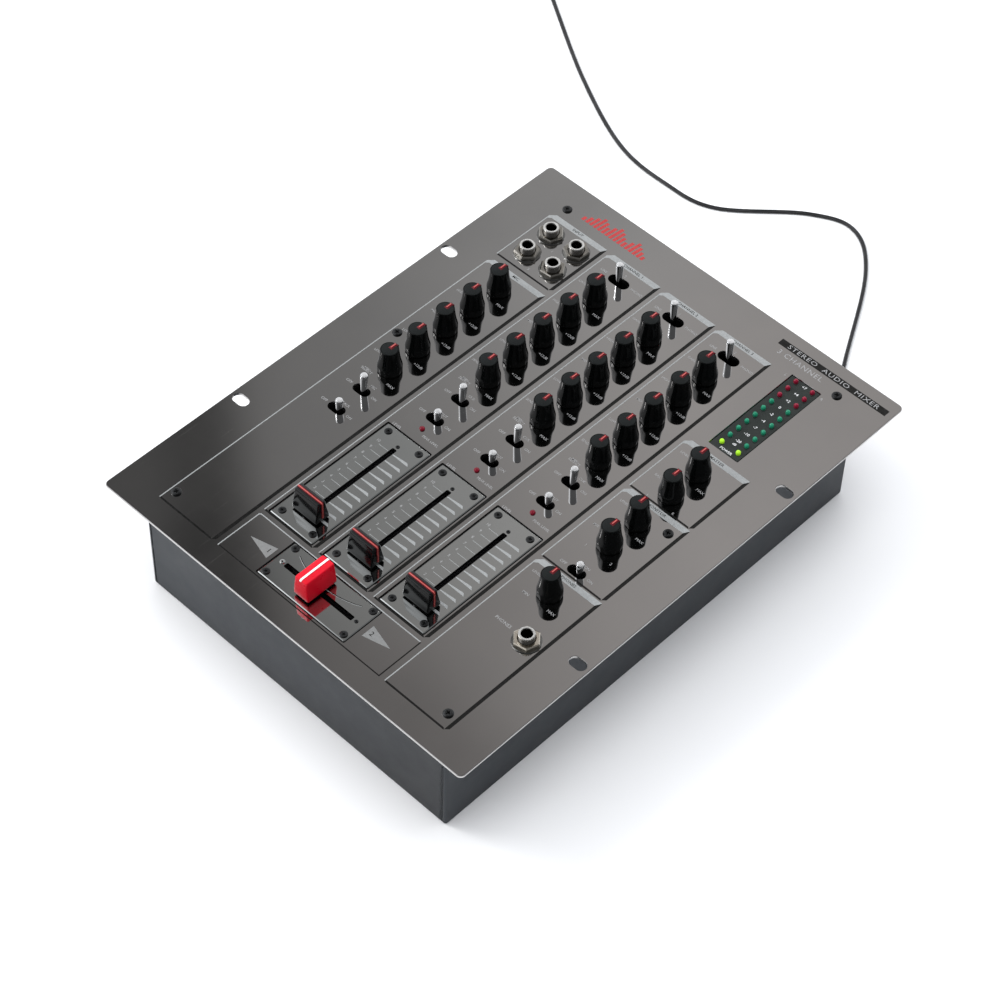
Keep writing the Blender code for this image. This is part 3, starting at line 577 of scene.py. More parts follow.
def cap_ends(part, rows):
    part.faces.new(list(reversed(rows[0])))
    part.faces.new(rows[-1])


def fill(part, loops):
    edges = []
    for loop in loops:
        for i, vert in enumerate(loop):
            pair = (vert, loop[(i + 1) % len(loop)])
            edges.append(part.edges.get(pair) or part.edges.new(pair))
    bmesh.ops.triangle_fill(part, edges=edges, use_beauty=True, use_dissolve=False,
                            normal=(0, 0, 1))


def sheet(part, outlines, bottom_z, top_z, chamfer=0.0, foot=0.0, drop=None):
    """A flat sheet: the first outline is its rim, the others are holes.

    chamfer and drop are the upper chamfer's width and height, foot the lower chamfer's size.
    """
    if drop is None:
        drop = chamfer
    top = [ring(part, outline(chamfer), top_z) for outline in outlines]
    upper = top
    if chamfer:
        upper = [ring(part, outline(0.0), top_z - drop) for outline in outlines]
    lower = [ring(part, outline(0.0), bottom_z + foot) for outline in outlines]
    bottom = lower
    if foot:
        bottom = [ring(part, outline(foot), bottom_z) for outline in outlines]
    for top_row, upper_row, lower_row, bottom_row in zip(top, upper, lower, bottom):
        if top_row is not upper_row:
            bridge(part, top_row, upper_row)
        bridge(part, upper_row, lower_row)
        if lower_row is not bottom_row:
            bridge(part, lower_row, bottom_row)
    fill(part, top)
    fill(part, bottom)


def lathe(part, profile, steps=32, at=(0.0, 0.0, 0.0), closed=False, warp=None):
    """Turns (radius, height) points about the Z axis through at.

    A closed profile joins back on itself. warp(radius, height, step) may change a radius.
    """
    centre_x, centre_y, centre_z = at
    rows = []
    for radius, z in profile:
        if radius < 1e-6:
            rows.append([part.verts.new((centre_x, centre_y, centre_z + z))])
            continue
        row = []
        for i in range(steps):
            angle = 2 * math.pi * i / steps
            size = warp(radius, z, i) if warp else radius
            row.append(part.verts.new((centre_x + size * math.cos(angle),
                                       centre_y + size * math.sin(angle), centre_z + z)))
        rows.append(row)
    if closed:
        rows.append(rows[0])
    for first, second in zip(rows, rows[1:]):
        if len(first) > 1 and len(second) > 1:
            bridge(part, first, second)
            continue
        for i in range(steps):
            j = (i + 1) % steps
            if len(first) == 1:
                part.faces.new((first[0], second[j], second[i]))
            else:
                part.faces.new((first[i], first[j], second[0]))


def lathe_rearwards(part, profile, steps, at, closed=False):
    """A turned piece whose axis points to the rear."""
    before = set(part.verts)
    lathe(part, profile, steps, closed=closed)
    stand = Matrix.Translation(at) @ Matrix.Rotation(-math.pi / 2, 4, "X")
    bmesh.ops.transform(part, matrix=stand, verts=[v for v in part.verts if v not in before])


def loft(part, sections):
    """Joins rounded rectangles (z, width, depth, corner radius) into one closed body."""
    rows = [ring(part, rounded(0, 0, width, depth, radius)(0.0), z)
            for z, width, depth, radius in sections]
    bridge_all(part, rows)
    fill(part, [rows[0]])
    fill(part, [rows[-1]])


def block(part, low, high, chamfer=0.0):
    def outline(inset):
        left, front, right, rear = (low[0] + inset, low[1] + inset,
                                    high[0] - inset, high[1] - inset)
        return [(left, front), (right, front), (right, rear), (left, rear)]
    sheet(part, [outline], low[2], high[2], chamfer, chamfer)


def band(part, right_path, half_width, rise):
    """A strip over a body, raised outwards by rise.

    right_path holds (x, z) points up the right side; the left side mirrors it.
    """
    path = [(-x, z) for x, z in right_path] + right_path[::-1]
    rows = []
    for i, (x, z) in enumerate(path):
        before = Vector(path[max(i - 1, 0)])
        after = Vector(path[min(i + 1, len(path) - 1)])
        along = (after - before).normalized()
        raised = Vector((x, z)) + Vector((-along.y, along.x)) * rise
        rows.append([part.verts.new((x, -half_width, z)),
                     part.verts.new((x, half_width, z)),
                     part.verts.new((raised.x, half_width, raised.y)),
                     part.verts.new((raised.x, -half_width, raised.y))])
    bridge_all(part, rows)
    cap_ends(part, rows)


# ================================================================ face panel and plates
def face_panel():
    size = PANEL_HIGH - PANEL_LOW
    outlines = [rounded(0, 0, size.x, size.y, 3.3, 12)]
    # rack ear slots
    for side_x in (-1, 1):
        for side_y in (-1, 1):
            ear = oval_hole(side_x * 129.4, side_y * 82.55, 10.8, 6.9, 14)
            outlines.append(punched(ear, 0.2))
    for node in PLATES:
        middle, size_of_plate = middle_and_size(node)
        opening = rounded(middle.x, middle.y, size_of_plate.x + 2 * PLATE_GAP,
                          size_of_plate.y + 2 * PLATE_GAP, 0.9, 4, True)
        outlines.append(punched(opening, 0.05))
    for name in KNOBS:
        place = joint_at(name)
        outlines.append(punched(circle(place.x, place.y, 3.8, 24, True), 0.2))
    for name in LEVERS:
        place = joint_at(name)
        outlines.append(punched(oval_hole(place.x, place.y, *lever_slot(name)), 0.12))
    for x, y in INPUT_JACKS + (PHONES_JACK,):
        outlines.append(punched(circle(x, y, JACK_HOLE_RADIUS, 28, True), 0.2))
    outlines.append(punched(rounded(*METER_AT, *METER_OPENING, 0.4, 3, True), 0.2))
    part = bmesh.new()
    sheet(part, outlines, UNDER, TOP, chamfer=0.28, foot=0.62)
    add("face_panel_sheet", part, "panel", "black_chrome", replaces=("face_panel",), angle=20)


def plates():
    # black sheets in the gaps round the plates stand in for the shade there: painted shadow
    gap_shadows = bmesh.new()
    for node in PLATES:
        low, high = box(node)
        middle, size = middle_and_size(node)
        if node == "crossfader_plate":
            slot = rounded(middle.x, middle.y, *CROSS_SLOT, 0.7, 4, True)
        else:
            slot = rounded(middle.x, FADER_SLOT_Y, *FADER_SLOT, 0.7, 4, True)
        part = bmesh.new()
        rim = rounded(middle.x, middle.y, size.x, size.y, 0.6, 4)
        sheet(part, [rim, punched(slot)], low.z, high.z, chamfer=0.50, drop=0.31)
        add(f"{node}_sheet", part, "plate", "plate_metal", replaces=(node,), angle=20)
        sheet(gap_shadows, [rounded(middle.x, middle.y, size.x + 1.5, size.y + 1.5, 0.85, 4),
                        rounded(middle.x, middle.y, size.x + 0.1, size.y + 0.1, 0.62, 4, True)],
              UNDER + 0.4, TOP - 0.5)
    add("plate_gap_shadows", gap_shadows, "void", "socket_plastic", angle=20)


# ================================================================ case
SHELL_BEND = 1.6
SHELL_THICKNESS = 1.2
SEAM_X = 113.45


def case_shell():
    low, high = box("chassis_shell")
    middle, size = middle_and_size("chassis_shell")
    part = bmesh.new()
    bmesh.ops.create_cube(part, size=1.0,
                          matrix=Matrix.Translation(middle) @ Matrix.Diagonal((*size, 1.0)))
    open_faces = [f for f in part.faces if f.normal.z > 0.9 or f.normal.y > 0.9]
    bmesh.ops.delete(part, geom=open_faces, context="FACES")
    bends = [e for e in part.edges if len(e.link_faces) == 2]
    bmesh.ops.bevel(part, geom=bends, offset=SHELL_BEND, segments=6, profile=0.5,
                    affect="EDGES")
    bmesh.ops.recalc_face_normals(part, faces=part.faces)
    shell = new_object("case_shell", to_mesh("case_shell", part))
    wall = shell.modifiers.new("sheet", "SOLIDIFY")
    wall.thickness = SHELL_THICKNESS * MM
    wall.offset = -1.0
    wall.use_even_offset = True
    # the open seams where the front sheet laps round both side sheets
    cutter = bmesh.new()
    for side, half in ((-1, 0.48), (1, 0.30)):
        block(cutter, (side * SEAM_X - half, low.y - 1.0, 1.9),
              (side * SEAM_X + half, low.y + 0.62, high.z + 2.0))
    cutter_object = new_object("seam_cutter", to_mesh("seam_cutter", cutter))
    seam = shell.modifiers.new("seam", "BOOLEAN")
    seam.operation = "DIFFERENCE"
    seam.solver = "EXACT"
    seam.object = cutter_object
    bpy.context.view_layer.update()
    evaluated = shell.evaluated_get(bpy.context.evaluated_depsgraph_get())
    mesh = bpy.data.meshes.new_from_object(evaluated)
    bpy.data.objects.remove(cutter_object)
    bpy.data.objects.remove(shell)
    mesh.name = "case_shell"
    set_only_finish(mesh, "case")
    mesh.shade_smooth()
    mesh.set_sharp_from_angle(angle=math.radians(28))
    add_mesh("case_shell", mesh, "case_paint", replaces=("chassis_shell",))


def set_only_finish(mesh, finish):
    mesh.materials.clear()
    mesh.materials.append(FINISHES[finish])
    for face in mesh.polygons:
        face.material_index = 0


def case_tabs():
    rim_z = box("chassis_shell")[1].z
    part = bmesh.new()
    for side in (-1, 1):
        left, right = sorted((side * 97.0, side * 114.9))
        for y in (150.6, 15.3, -153.0):
            block(part, (left, y - 6.5, rim_z - 2.4), (right, y + 6.5, rim_z - 0.9), 0.2)
    add("case_screw_tabs", part, "case", "case_paint")


def rear_panel():
    low, high = box("rear_panel")
    outlines = [rounded(0, (low.z + high.z) / 2, high.x - low.x, high.z - low.z, 0.4, 2)]
    outlines += [circle(x, z, 4.8, 24, True) for x, z in SOCKET_PLACES]
    outlines.append(circle(CORD_X, CORD_Z, 3.9, 20, True))
    part = bmesh.new()
    sheet(part, outlines, 0.0, high.y - low.y, chamfer=0.2)
    # drawn flat, then stood up by swapping Y and Z, so its face looks to the rear
    stand = Matrix(((1, 0, 0, 0), (0, 0, 1, low.y), (0, 1, 0, 0), (0, 0, 0, 1)))
    bmesh.ops.transform(part, verts=part.verts, matrix=stand)
    add("rear_panel_sheet", part, "case_dark", "case_paint", replaces=("rear_panel",), angle=20)


def rear_sockets():
    low, high = box("rear_jack_block")
    bar = bmesh.new()
    block(bar, low, (high.x, low.y + 8.0, high.z), 0.5)
    add("rear_socket_bar", bar, "plastic", "socket_plastic", replaces=("rear_jack_block",))
    start_y = low.y + 7.0
    reach = high.y - start_y
    # (radius, distance to the rear of start_y)
    collar = [(3.55, 1.0), (4.2, 1.0), (4.2, reach - 0.35), (3.95, reach), (3.65, reach),
              (3.55, reach - 0.3)]
    insert = [(1.55, 1.2), (3.5, 1.2), (3.5, reach - 1.2), (3.2, reach - 0.9),
              (1.75, reach - 0.9), (1.55, reach - 1.1)]
    boot = [(4.25, 3.2), (4.75, 3.2), (4.75, 4.15), (4.5, 4.4), (4.25, 4.4)]
    collars, whites, reds, boots = (bmesh.new() for _ in range(4))
    for x, z in SOCKET_PLACES:
        inserts = whites if z > 40 else reds
        for part, profile in ((collars, collar), (inserts, insert), (boots, boot)):
            lathe_rearwards(part, profile, 24, (x, start_y, z), closed=True)
    add("rear_socket_collars", collars, "nickel", "nickel")
    add("rear_socket_white_inserts", whites, "white_plastic", "socket_plastic")
    add("rear_socket_red_inserts", reds, "red_plastic", "socket_plastic")
    add("rear_socket_boots", boots, "plastic", "socket_plastic")


# ================================================================ screws
def cross_screws(name, places, radius, height, arm, finish="screw"):
    """Pan-head screws with a cross recess on the face panel, all in one piece."""
    heads, shaded_floors = bmesh.new(), bmesh.new()
    foot_z = TOP - 0.02
    flat = radius * 0.60
    reach = flat * 0.93
    for k, (x, y) in enumerate(places):
        turn = 0.35 + 1.13 * k
        rows = [(radius, foot_z)]
        for i in range(5):
            angle = i / 4.0 * math.pi / 2
            rows.append((flat + (radius - flat) * math.cos(angle),
                         foot_z + height * (0.30 + 0.70 * math.sin(angle))))
        rings = [ring(heads, circle(x, y, size, 28)(0.0), z) for size, z in rows]
        bridge_all(heads, rings)
        crown_z = rows[-1][1]
        mouth = ring(heads, cross_points(x, y, reach, arm, turn), crown_z)
        deep = ring(heads, cross_points(x, y, reach * 0.55, arm * 0.6, turn),
                    crown_z - height * 0.62)
        fill(heads, [rings[-1], mouth])
        bridge(heads, mouth, deep)
        fill(heads, [deep])
        fill(heads, [rings[0]])
        # a darker floor in each cross recess: painted shade
        floor_points = cross_points(x, y, reach * 0.60, arm * 0.66, turn)
        sheet(shaded_floors, [polygon(floor_points)], crown_z - height * 0.64, crown_z - height * 0.58)
    add(name, heads, finish, "screw_black" if finish == "screw" else "nickel", angle=40)
    add(name + "_recess", shaded_floors, "recess", "screw_black")


def face_screws():
    sides = (-1, 1)
    cross_screws("panel_screws",
                 [(side * PANEL_SCREW_X, y) for side in sides for y in (156.9, 15.3, -153.0)],
                 radius=3.05, height=0.95, arm=0.42)
    spots = [(x + side * 12.0, y) for x in CHANNEL_X for side in sides for y in (-40.5, -120.9)]
    spots += [(side * 29.8, y) for side in sides for y in (-134.3, -155.8)]
    cross_screws("plate_screws", spots, radius=2.45, height=0.5, arm=0.33)
    small = [(x, y) for x in CHANNEL_X for y in (-45.0, -115.5)] + [(28.3, CROSS_Y)]
    cross_screws("fader_screws", small, radius=1.25, height=0.35, arm=0.2)
    cross_screws("crossfader_bright_screw", [(-28.3, CROSS_Y)], radius=1.6, height=0.5,
                 arm=0.25, finish="bright")


def rear_screws():
    face_y = box("rear_panel")[1].y
    places = [(side * 109.0, z) for side in (-1, 1) for z in (10.0, 66.0)]
    places += [(0.0, 66.0), (0.0, 10.0)]
    profile = [(0.0, 1.2), (1.0, 1.15), (1.9, 0.85), (2.5, 0.3), (2.6, 0.0), (0.0, 0.0)]
    part = bmesh.new()
    for x, z in places:
        lathe_rearwards(part, profile, 20, (x, face_y - 0.02, z))
    add("rear_panel_screws", part, "screw", "screw_black")


# ================================================================ knobs
KNOB_STEPS = 72
STEPS_PER_FLUTE = 6
KNOB_PROFILE = [  # (radius, height) from the head down the skirt to the shaft's end
    (0.0, 17.10), (4.75, 17.10), (5.00, 17.12), (5.28, 17.0), (5.46, 16.7), (5.56, 15.5),
    (5.78, 13.2), (6.02, 11.2), (6.26, 9.6), (6.54, 8.1), (6.84, 6.8), (7.12, 5.6),
    (7.32, 4.6), (7.42, 3.6), (7.44, 2.4), (7.44, 1.4), (7.38, 0.75), (7.2, 0.45),
    (3.2, 0.45), (3.0, 0.65), (3.0, -22.6), (0.0, -22.6)]
KNOB_TOP_PROFILE = [(0.0, 17.16), (4.58, 17.16), (4.70, 17.12), (4.72, 16.95), (0.0, 16.95)]


def knob_flutes(radius, z, step):
    """Shallow flutes round the skirt's foot that fade out upwards."""
    if radius > 7.0 and 0.3 < z < 5.0:
        wave = 0.5 - 0.5 * math.cos(2 * math.pi * step / STEPS_PER_FLUTE)
        return radius - 0.34 * wave * min(1.0, max(0.0, (4.4 - z) / 2.4))
    return radius


def knob_meshes():
    body = bmesh.new()
    lathe(body, KNOB_PROFILE, KNOB_STEPS, warp=knob_flutes)
    # the fin that carries the pointer down the head's rear side
    block(body, (-1.3, 4.2, 8.7), (1.3, 6.0, 16.98), 0.28)
    top = bmesh.new()
    lathe(top, KNOB_TOP_PROFILE, 40)
    # a ridge from the centre to the fin: sloping flanks and a narrow flat top
    pointer = bmesh.new()
    base = ring(pointer, ((-1.75, -0.15), (1.75, -0.15), (1.45, 5.75), (-1.45, 5.75)), 16.9)
    crown = ring(pointer, ((-0.31, 0.95), (0.31, 0.95), (0.31, 4.75), (-0.31, 4.75)), 17.66)
    bridge(pointer, base, crown)
    cap_ends(pointer, (base, crown))
    return (("body", mesh_of("knob_body", body, "knob", 24), "knob_plastic"),
            ("top", mesh_of("knob_top", top, "knob_top", 30), "knob_plastic"),
            ("pointer", mesh_of("knob_pointer", pointer, "pointer", 15), "red_plastic"))


def knobs():
    meshes = knob_meshes()
    # black rings under the knobs' skirts stand in for the shade there: painted shadow
    skirt_shadow = bmesh.new()
    profile = [(3.85, 0.0), (7.1, 0.0), (7.2, 0.1), (7.2, 0.33), (7.1, 0.4), (3.85, 0.4)]
    for name in KNOBS:
        lathe(skirt_shadow, profile, 36, joint_at(name), closed=True)
    add("knob_skirt_painted_shadow", skirt_shadow, "void", "knob_plastic")
    for name in KNOBS:
        for key, mesh, slot in meshes:
            add_mesh(f"{name}_{key}", mesh, slot, body=name, at=joint_at(name),
                     replaces=(name,) if key == "body" else ())


# ================================================================ switch levers
PIVOT_DEPTH = 23.0
LEVER_TALL, LEVER_SHORT = 14.6, 9.1  # tips above the pivot depth


def lever_mesh(name, height):
    tip = PIVOT_DEPTH + height
    part = bmesh.new()
    lathe(part, [(0.0, tip), (1.80, tip), (1.95, tip - 0.05), (2.12, tip - 0.20),
                 (2.28, tip - 0.45), (2.36, tip - 0.80), (2.38, tip - 1.2), (2.33, tip - 2.4),
                 (2.22, tip - 5.0), (2.05, PIVOT_DEPTH + 1.5), (1.95, PIVOT_DEPTH - 2.0),
                 (1.75, PIVOT_DEPTH - 6.0), (1.5, PIVOT_DEPTH - 8.0), (1.5, -2.4), (0.0, -2.4)])
    # the cross pin at the pivot
    bmesh.ops.create_cone(part, cap_ends=True, segments=14, radius1=0.95, radius2=0.95,
                          depth=7.2, matrix=Matrix.Rotation(math.pi / 2, 4, "X"))
    return mesh_of(name, part, "chrome", 28)


def levers():
    tall = lever_mesh("lever_tall", LEVER_TALL)
    short = lever_mesh("lever_short", LEVER_SHORT)
    for name in LEVERS:
        least, most = JOINT_OF[name]["range_deg"]
        lean = math.radians(-(least + most) / 2)
        add_mesh(name + "_pin", short if short_lever_print(name) else tall, "lever_chrome",
                 body=name, at=joint_at(name), turn=(0.0, lean, 0.0), replaces=(name,))


def dust_shields():
    """Black collars just under the panel, so that the lever slots look dark inside: painted
    shadow.
    """
    part = bmesh.new()
    for name in LEVERS:
        x, y, _ = joint_at(name)
        length, height = lever_slot(name)
        sheet(part, [rounded(x, y, length + 4.0, height + 4.0, 2.0, 4),
                     oval_hole(x, y, length - 1.2, height - 0.8, 10)],
              UNDER - 1.0, UNDER - 0.2, chamfer=0.1)
        sheet(part, [rounded(x, y, length + 3.0, height + 4.0, 1.0, 3),
                     rounded(x, y, length - 0.6, height - 0.2, 1.0, 3, True)],
              UNDER - 9.0, UNDER - 1.1)
    add("switch_slot_painted_shadow", part, "void", "socket_plastic")


# ================================================================ fader caps
def cap_underside(node, at, base, foot_half, foot_z, foot_chamfer, tang):
    """The dark foot under a cap, a painted shadow in the gap beneath it, and the metal tang that
    goes down to the fader.
    """
    half_x, half_y = foot_half
    part = bmesh.new()
    # this black block stands in for the shade under the cap: painted shadow
    block(part, (-half_x, -half_y, foot_z), (half_x, half_y, base + 0.5), foot_chamfer)
    add(node + "_foot", part, "void", "cap_plastic", body=node, at=at)
    width, depth = tang
    part = bmesh.new()
    block(part, (-width / 2, -depth / 2, box(node)[0].z), (width / 2, depth / 2, base + 0.6),
          0.15)
    add(node + "_tang", part, "zinc", "zinc_sheet", body=node, at=at)


def channel_cap(node):
    middle, size = middle_and_size(node)
    at = (middle.x, middle.y, 0.0)
    base, top = TOP + 1.5, box(node)[1].z
    half = size.x / 2
    width, depth = 2 * half - 0.10, size.y - 0.05
    part = bmesh.new()
    loft(part, [(base, width - 0.16, depth - 0.16, 0.8),
                (base + 0.10, width, depth, 0.85),
                (base + 1.8, width, depth - 0.12, 0.9),
                (base + 4.4, width - 0.10, depth - 1.15, 0.95),
                (base + 7.2, width - 0.18, depth - 2.30, 1.0),
                (base + 9.8, width - 0.26, depth - 3.25, 1.05),
                (top - 1.15, width - 0.35, depth - 4.05, 1.1),
                (top - 0.55, width - 0.50, depth - 4.35, 1.1),
                (top - 0.18, width - 0.90, depth - 4.80, 0.95),
                (top - 0.05, width - 1.50, depth - 5.4, 0.7)])
    add(node + "_body", part, "cap", "cap_plastic", body=node, at=at, replaces=(node,), angle=40)
    # the coloured line over the ridge and down both ends
    path = [(half, base + 2.0), (half, base + 3.2), (half - 0.02, base + 4.4),
            (half - 0.06, base + 7.2), (half - 0.10, base + 9.8), (half - 0.14, top - 1.15),
            (half - 0.22, top - 0.55), (half - 0.42, top - 0.15), (half - 0.74, top)]
    part = bmesh.new()
    band(part, path, half_width=0.34, rise=0.22)
    add(node + "_line", part, "cap_line", "red_plastic", body=node, at=at, angle=40)
    # its darker borders, a little lower
    part = bmesh.new()
    band(part, [(x - 0.05, z - 0.05) for x, z in path], half_width=0.92, rise=0.20)
    add(node + "_line_borders", part, "cap_edge", "red_plastic", body=node, at=at, angle=40)
    cap_underside(node, at, base, (half - 0.6, depth / 2 - 0.55), foot_z=TOP + 0.5,
                  foot_chamfer=0.15, tang=(1.8, 3.4))


def cross_cap():
    node = "crossfader_cap"
    middle, size = middle_and_size(node)
    at = (middle.x, middle.y, 0.0)
    base, top = TOP + 1.9, box(node)[1].z
    width, depth = size.x, size.y
    part = bmesh.new()
    loft(part, [(base, width - 0.9, depth - 0.9, 0.6),
                (base + 0.15, width - 0.3, depth - 0.3, 0.8),
                (base + 0.5, width, depth, 0.9),
                (base + 2.2, width - 0.08, depth - 0.03, 0.95),
                (base + 6.0, width - 0.75, depth - 0.14, 1.0),
                (base + 9.4, width - 1.5, depth - 0.32, 1.0),
                (top - 1.1, width - 2.3, depth - 0.62, 1.05),
                (top - 0.55, width - 2.6, depth - 0.92, 1.0),
                (top - 0.2, width - 3.1, depth - 1.40, 0.9),
                (top - 0.04, width - 3.9, depth - 2.2, 0.7)])
    add(node + "_body", part, "cross", "red_plastic", body=node, at=at, replaces=(node,),
        angle=40)
    # the white line over the top runs front to rear, so the band is turned
    half = depth / 2
    part = bmesh.new()
    band(part, [(half - 0.36, top - 0.75), (half - 0.52, top - 0.42), (half - 0.80, top - 0.10),
                (half - 1.25, top)], half_width=0.62, rise=0.30)
    bmesh.ops.rotate(part, verts=part.verts, cent=(0, 0, 0),
                     matrix=Matrix.Rotation(math.pi / 2, 3, "Z"))
    add(node + "_line", part, "cross_line", "red_plastic", body=node, at=at, angle=40)
    part = bmesh.new()
    for side in (-1, 1):
        y = side * (half - 0.35)
        block(part, (-0.5, y - 0.33, base + 0.9), (0.5, y + 0.33, base + 2.3), 0.18)
    add(node + "_line_foot", part, "cross_line", "red_plastic", body=node, at=at)
    cap_underside(node, at, base, (width / 2 - 0.9, depth / 2 - 0.8), foot_z=TOP + 0.6,
                  foot_chamfer=0.2, tang=(3.4, 1.8))


# ================================================================ jacks
JACK_FOOT_Z = 48.6
THREAD_PITCH = 0.78


def carrier_board(part, node):
    """The thin board at the foot of a node's box; returns the height just above it."""
    low, high = box(node)
    block(part, low, (high.x, high.y, low.z + 1.6), 0.1)
    return low.z + 1.62


def neck_profile(rim_z):
    """A threaded tube from the jack's foot to its rim and back down."""
    profile = [(3.25, JACK_FOOT_Z), (3.25, rim_z - 0.9), (3.5, rim_z - 0.7), (4.35, rim_z - 0.7)]
    z = rim_z - 1.0
    while z > UNDER - 0.6:
        profile += [(4.58, z), (4.58, z - 0.18), (4.28, z - 0.42), (4.28, z - 0.52)]
        z -= THREAD_PITCH
    return profile + [(4.4, UNDER - 0.9), (4.4, JACK_FOOT_Z)]


def jack_set(node, body_name, name, places, nut_finish):
    bodies = bmesh.new()
    body_z = carrier_board(bodies, node)
    for x, y in places:
        sheet(bodies, [rounded(x, y, 15.0, 15.0, 0.8, 3), circle(x, y, 4.5, 20, True)],
              body_z, UNDER - 0.3, chamfer=0.4)
    add(body_name, bodies, "plastic", "socket_plastic", replaces=(node,))
    necks, rings, nuts, washers = (bmesh.new() for _ in range(4))
    rim_z = TOP + 7.0
    ring_profile = [(3.28, rim_z - 1.05), (3.28, rim_z - 0.25), (3.5, rim_z), (4.4, rim_z),
                    (4.65, rim_z - 0.22), (4.65, rim_z - 0.95), (4.5, rim_z - 1.05)]
    for k, (x, y) in enumerate(places):
        lathe(necks, neck_profile(rim_z), 28, (x, y, 0.0), closed=True)
        lathe(rings, ring_profile, 40, (x, y, 0.0), closed=True)
        sheet(washers, [circle(x, y, 8.4, 40), circle(x, y, 4.75, 28, True)],
              TOP - 0.01, TOP + 0.7, chamfer=0.22)
        nut = hexagon(x, y, across=14.0, turn=0.20 + 0.31 * k)
        sheet(nuts, [nut, circle(x, y, 4.72, 30, True)], TOP + 0.7, TOP + 3.1, chamfer=0.55)
    add(name + "_necks", necks, "thread", "nickel", angle=30)
    add(name + "_ring_faces", rings, "ring", "nickel", angle=30)
    add(name + "_nuts", nuts, nut_finish, "nickel", angle=20)
    add(name + "_washers", washers, "washer", "nickel", angle=20)


# ================================================================ lamps and meter
LAMP_PROFILE = [(0.0, 2.25), (0.55, 2.18), (1.0, 1.95), (1.32, 1.55), (1.48, 1.05), (1.5, 0.3),
                (1.5, -0.6), (0.0, -0.6)]
LAMP_GROUPS = (  # object suffix, finish, slot, rows counted from the rear
    ("red", "lamp_red", "lamp_red", METER_ROWS[:3]),
    ("green", "lamp_green", "lamp_green", METER_ROWS[3:9]),
    ("lit", "lamp_lit", "lamp_green", METER_ROWS[9:]))


def meter():
    part = bmesh.new()
    window_z = carrier_board(part, "led_meter")
    width, depth = METER_OPENING
    sheet(part, [rounded(*METER_AT, width - 0.6, depth - 0.6, 0.3, 2)], window_z, GLASS_TOP,
          chamfer=0.25)
    add("meter_window_block", part, "window", "meter_window", replaces=("led_meter",))
    for key, finish, slot, rows in LAMP_GROUPS:
        part = bmesh.new()
        for y in rows:
            for x in (81.1, 93.2):
                lathe(part, LAMP_PROFILE, 20, (x, y, GLASS_TOP))
        add(f"meter_lamps_{key}", part, finish, slot)
    part = bmesh.new()
    flatter = [(radius * 1.13, z * 0.55) for radius, z in LAMP_PROFILE]
    for x in CHANNEL_X:
        lathe(part, flatter, 24, (x, -26.0, TOP))
    add("peak_lamps", part, "peak", "lamp_red")


# ================================================================ printing
INK = 0.035  # height of the print
INK_SINK = 0.005  # how far it reaches into the panel
SECTIONS = (  # left, right, rear and front edges of each printed frame, and its title
    (-108.7, -64.6, 149.1, 100.9, "INPUT"),
    (-108.7, -64.6, 96.4, -161.7, "MIC"),
    (-62.1, -22.1, 149.1, -127.4, "CHANNEL 1"),
    (-19.4, 20.3, 149.1, -127.4, "CHANNEL 2"),
    (22.6, 62.8, 149.1, -127.4, "CHANNEL 3"),
    (65.9, 111.7, 74.4, 25.8, "MASTER"),
    (65.9, 111.7, 25.0, -43.8, "MONITOR"),
    (65.9, 111.7, -44.9, -161.6, "PHONES"))
CROSS_FRAME = (-61.7, 62.3, -130.4, -161.7)
STRIP, SIDE, LINE = 3.9, 2.1, 0.65  # widths of a frame's title strip, right bar and left line
SCALE_MARKS = 11
MARK_PITCH = 6.03
LEVEL_BARS = (3.2, 5.4, 7.8, 10.2, 8.6, 6.0, 8.8, 11.0, 9.2, 6.6, 4.4, 7.0, 9.6, 7.4, 5.0, 3.0)


def ink(part, points):
    """Prints a flat shape, with its points put in anticlockwise order."""
    if sum(a[0] * b[1] - b[0] * a[1] for a, b in zip(points, points[1:] + points[:1])) < 0:
        points = list(reversed(points))
    sheet(part, [polygon(points)], TOP - INK_SINK, TOP + INK)


def ink_bar(part, left, right, front, rear):
    ink(part, [(left, front), (right, front), (right, rear), (left, rear)])


def section_frames(light, dark):
    for left, right, rear, front, _ in SECTIONS:
        ink(light, [(left, front + 0.2), (left, rear - 3.3), (left + 3.3, rear), (right, rear),
                    (right - SIDE, rear - STRIP), (left + 2.6, rear - STRIP),
                    (left + LINE, rear - STRIP - 1.6), (left + LINE, front + 0.2)])
        ink(dark, [(right, rear), (right, front + 2.1), (right - SIDE, front + 0.1),
                   (right - SIDE, rear - STRIP)])
        inner = right - SIDE - 0.05
        ink(dark, [(left + 0.9, front - 0.3), (inner, front - 0.3), (inner, front + 0.05),
                   (right - SIDE - 0.9, front + 0.9), (left + 0.9, front + 0.9)])


def crossfader_frame(light, dark):
    """Thin lines all round."""
    left, right, rear, front = CROSS_FRAME
    ink(light, [(left, front), (left, rear - 1.0), (left + 1.0, rear), (right - 0.6, rear),
                (right - 1.1, rear - 0.7), (left + 1.4, rear - 0.7), (left + 0.65, rear - 1.45),
                (left + 0.65, front)])
    ink(dark, [(left + 0.9, front), (right, front), (right, rear - 0.3),
               (right - 0.75, rear - 0.8), (right - 0.75, front + 0.75),
               (left + 0.9, front + 0.75)])


def fader_scales(light):
    """Hairlines on the left of each fader slot, widening marks on its right."""
    for x in CHANNEL_X:
        for k in range(SCALE_MARKS):
            y = -50.7 - MARK_PITCH * k
            ink_bar(light, x - 9.3, x - 1.9, y - 0.14, y + 0.14)
            ink(light, [(x + 1.9, y - 0.42), (x + 14.0, y - 0.62), (x + 12.4, y + 1.15),
                        (x + 11.2, y + 1.15), (x + 1.9, y + 0.22)])


